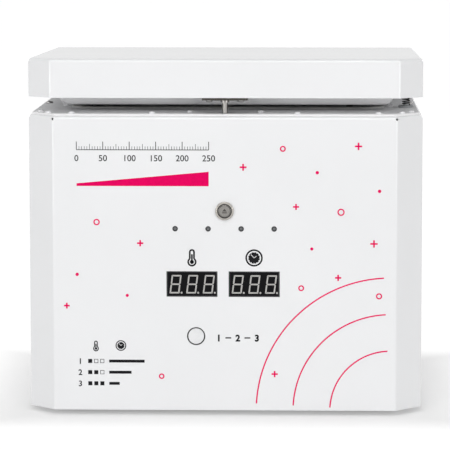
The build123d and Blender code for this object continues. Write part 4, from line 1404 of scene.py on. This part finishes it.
@dataclass
class OpenButton:
    """The dressing of the metal push-button: its seal, whose black also paints shade round the cap,
    its turned rings and its engraved mark.

    The engraved ring's sizes are its radius and its line, and the arrow's are its foot and its tip.
    """

    seal_radius: float = 5.15
    seal_line: float = 0.34
    seal_depth: float = 0.42
    ring: Pair = (4.3, 0.3)
    arrow_half: float = 1.75
    arrow_z: Pair = (-0.15, 1.9)
    bar_z: float = -1.15
    bar_line: float = 0.75
    ink_lift: float = 0.02

    def seal_and_shade(self, x: float, z: float) -> None:
        """Make the round seal between the bezel and the cap; its black also paints the shade in the
        gap round the cap.

        Args:
            x: Its centre, across.
            z: Its centre, up.
        """
        bezel_face = box_mm("open_button_bezel")[0].y
        ring = [
            (self.seal_radius + self.seal_line * math.cos(a), self.seal_line * math.sin(a))
            for a in (i * math.pi / 6 for i in range(13))
        ]
        seal_and_shade = Form()
        seal_and_shade.lathe(ring, Facing.FRONT.turned((x, bezel_face + self.seal_depth, z)), 56)
        seal_and_shade.outward()
        seal_and_shade.finish("button_seal_and_shade", SEAL_AND_SHADE_RUBBER, "case", "silicone")

    def mark(self, x: float, z: float, face: float) -> None:
        """Engrave a ring with an arrow over a bar.

        Args:
            x: The mark's centre, across.
            z: The mark's centre, up.
            face: The place of the cap's face along Y.
        """
        low, high = self.arrow_z
        half, bar = self.arrow_half, z + self.bar_z
        mark = InkPrint()
        mark.arc(x, z, *self.ring)
        mark.area([(x - half, z + low), (x + half, z + low), (x, z + high)])
        mark.line((x - half, bar), (x + half, bar), self.bar_line)
        mark.lay("button_engraving", DARK_ETCH, "open_button", face - self.ink_lift)

    def build(self) -> None:
        """Make the seal, whose black is partly painted shade, and the engraving, and turn the metal
        about the button's middle.
        """
        low, high = box_mm("open_button_cap")
        x, z = front_middle(low, high)
        self.seal_and_shade(x, z)
        for node, colour in TURNED_COLOURS.items():
            finish = TurnedMetal(f"{node}_metal", colour, centre=(x * MM, low.y * MM, z * MM))
            for slot in frame["nodes"][node].material_slots:
                slot.material = finish.material()
        self.mark(x, z, low.y)


@dataclass
class KeyGap:
    """A black rubber ring at the bottom of the gap round the program key; its black is also painted
    shade in the gap.
    """

    cap_radius: float = 5.95
    draft: float = 0.02
    width: float = 1.9
    height: float = 0.16
    depth: float = 1.5

    def build(self) -> None:
        """Make the dark ring, partly painted shade, on the key's flange."""
        x, z = front_middle(*box_mm("program_key"))
        inner, outer = self.cap_radius, self.cap_radius + self.width
        ring = [(inner, 0), (inner + self.draft, self.height), (outer, self.height), (outer, 0)]
        # The ring's black rubber is partly painted shade at the bottom of the gap.
        seal_and_shade = Form()
        seal_and_shade.lathe(ring, Facing.FRONT.turned((x, front_plane() + self.depth, z)), 72)
        seal_and_shade.outward()
        seal_and_shade.finish("key_seal_and_shade", SEAL_AND_SHADE_RUBBER, "program_button", "silicone")


# ---------------------------------------------------------------- fasteners


@dataclass
class CrossScrews:
    """One group of cross-recessed screws, in place of plain ones.

    The head's dome runs from its rim inward. Each of its points is a share of the head's radius and
    a share of its height below the top.
    """

    node: str
    body: str
    facing: Facing
    head: float = 1.7
    shank_radius: float = 1.5
    shank_chamfer: Pair = (0.4, 0.5)
    dome: tuple[Pair, ...] = ((1.0, 0.55), (0.94, 0.3), (0.78, 0.1), (0.5, 0.02))
    steps: int = 28
    recess: float = 1.05
    recess_share: float = 0.62
    recess_taper: float = 0.45
    slot_width: float = 0.72
    first_turn: int = 17
    next_turn: int = 41

    def one(self, radius: float, length: float) -> bpy.types.Mesh:
        """Make one screw that faces up, with the top of its head at the origin.

        Args:
            radius: The radius of its head.
            length: Its whole length.

        Returns:
            The screw's mesh, in millimetres.
        """
        shank, head = self.shank_radius, self.head
        inset, rise = self.shank_chamfer
        body = Form()
        body.lathe(
            [
                (0, -length), (shank - inset, -length), (shank, -length + rise), (shank, -head),
                (radius, -head), *((across * radius, -down * head) for across, down in self.dome),
                (0, 0),
            ],
            Matrix.Identity(4),
            self.steps,
        )
        body.outward()
        cutter = Form()
        size = (2 * self.recess_share * radius, self.slot_width, 2 * self.recess, 1)
        for turn in (0, math.pi / 2):
            where = Matrix.Rotation(turn, 4, "Z") @ Matrix.Diagonal(size)
            made = bmesh.ops.create_cube(cutter.shape, size=1.0, matrix=where)["verts"]
            low = [vert for vert in made if vert.co.z < 0]
            bmesh.ops.scale(cutter.shape, vec=(self.recess_taper, self.recess_taper, 1), verts=low)
        return carve(body.shape, cutter.shape)

    def build(self) -> None:
        """Make every screw of the group."""
        group = Form()
        axis = max(range(3), key=lambda i: abs(self.facing.value[i]))
        wide = 1 if axis == 0 else 0
        for low, high in islands(self.node):
            place = (low + high) / 2
            place[axis] = high[axis] if self.facing.value[axis] > 0 else low[axis]
            screw = self.one((high[wide] - low[wide]) / 2, high[axis] - low[axis])
            degrees = self.first_turn + self.next_turn * len(group.shape.verts) % 90
            turn = Matrix.Rotation(math.radians(degrees), 4, "Z")
            group.take(screw, self.facing.turned(place) @ turn)
        parts = frame["record"]["subparts"]
        slot = next(part["material_slot"] for part in parts if part["node"] == self.node)
        group.finish(f"{self.node}_cross", SCREW_ZINC, self.body, slot, (self.node,))


def carve(solid: bmesh.types.BMesh, cutter: bmesh.types.BMesh) -> bpy.types.Mesh:
    """Cut one closed shape out of another.

    Args:
        solid: The shape that stays, which is freed.
        cutter: The shape that is taken out, which is freed.

    Returns:
        A new mesh of what is left.
    """
    holders = []
    for shape in (solid, cutter):
        mesh = bpy.data.meshes.new("blank")
        shape.to_mesh(mesh)
        shape.free()
        holders.append(placed("blank", mesh))
    cut = holders[0].modifiers.new("cut", "BOOLEAN")
    cut.operation = "DIFFERENCE"
    cut.solver = "EXACT"
    cut.use_self = True
    cut.object = holders[1]
    bpy.context.view_layer.update()
    graph = bpy.context.evaluated_depsgraph_get()
    result = bpy.data.meshes.new_from_object(holders[0].evaluated_get(graph))
    for holder in holders:
        mesh = holder.data
        bpy.data.objects.remove(holder)
        bpy.data.meshes.remove(mesh)
    return result


# ---------------------------------------------------------------- the rear


@dataclass
class MainsInlet:
    """The three contacts of the mains inlet."""

    blade: Pair = (2.16, 4.16)
    blade_places: tuple[Point, ...] = ((-7.0, -2.0), (7.0, -2.0), (0.0, 2.0))
    blade_edge: float = 0.5
    blade_edge_steps: int = 3
    socket_depth: float = 18.0
    reach: float = 14.1

    def build(self) -> None:
        """Make the plated contacts over the plain ones."""
        low, high = box_mm("mains_inlet")
        x, z = front_middle(low, high)
        floor_y = high.y - self.socket_depth
        wide, tall = self.blade
        contacts = Form()
        for across, up in self.blade_places:
            contacts.box(
                (x + across - wide / 2, floor_y, z + up - tall / 2),
                (x + across + wide / 2, floor_y + self.reach, z + up + tall / 2),
                self.blade_edge,
                self.blade_edge_steps,
            )
        contacts.outward()
        contacts.finish("inlet_contacts", NICKEL, "case", "nickel")


@dataclass
class SwitchMarks:
    """The two moulded marks on the power switch."""

    tilt: float = 9.0
    slope: float = 10.7
    face: float = 3.2
    ink_lift: float = 0.05
    line: float = 0.8
    pivot_inset: float = 1.5
    pivot_z: float = 40.0
    mark_place: float = 4.0
    bar_half: float = 1.8
    ring_radius: float = 1.5

    def build(self) -> None:
        """Lay a bar on the upper half of the rocker and a ring on the lower half."""
        x, _ = front_middle(*box_mm("switch_rocker"))
        pivot = box_mm("back_panel")[1].y - self.pivot_inset
        turn = Matrix.Rotation(math.radians(self.tilt), 4, "X")
        for name, side in (("bar", 1), ("ring", -1)):
            ink = InkPrint()
            up = side * self.mark_place
            if name == "bar":
                ink.line((0, up - self.bar_half), (0, up + self.bar_half), self.line)
            else:
                ink.arc(0, up, self.ring_radius, self.line)
            lean = Matrix.Rotation(math.radians(side * -self.slope), 4, "X")
            to_face = Matrix.Translation((0, self.face + self.ink_lift, 0)) @ lean
            where = Matrix.Translation((x, pivot, self.pivot_z)) @ turn @ to_face
            bmesh.ops.transform(ink.shape, matrix=where, verts=ink.shape.verts)
            ink.turn_faces(1)
            ink.finish(f"switch_{name}", WHITE_INK, "rocker")


def main() -> None:
    """Build the studio and every sub-assembly, in order."""
    logging.basicConfig(level=logging.INFO, format="%(name)s: %(message)s")
    assemblies = (
        Studio(),
        FrameFinishes(),
        PanelPrint(),
        PanelDecoration(),
        NumberDisplay("temperature_display"),
        NumberDisplay("time_display"),
        StatusLamps(),
        OpenButton(),
        KeyGap(),
        CrossScrews("side_screws", "case", Facing.UP),
        CrossScrews("rear_screws", "case", Facing.BACK),
        CrossScrews("bottom_screws", "case", Facing.DOWN),
        CrossScrews("lid_hinge_screws", "lid", Facing.BACK),
        CrossScrews("striker_screws", "lid", Facing.DOWN),
        MainsInlet(),
        SwitchMarks(),
    )
    for assembly in assemblies:
        assembly.build()


if __name__ == "__main__":
    main()
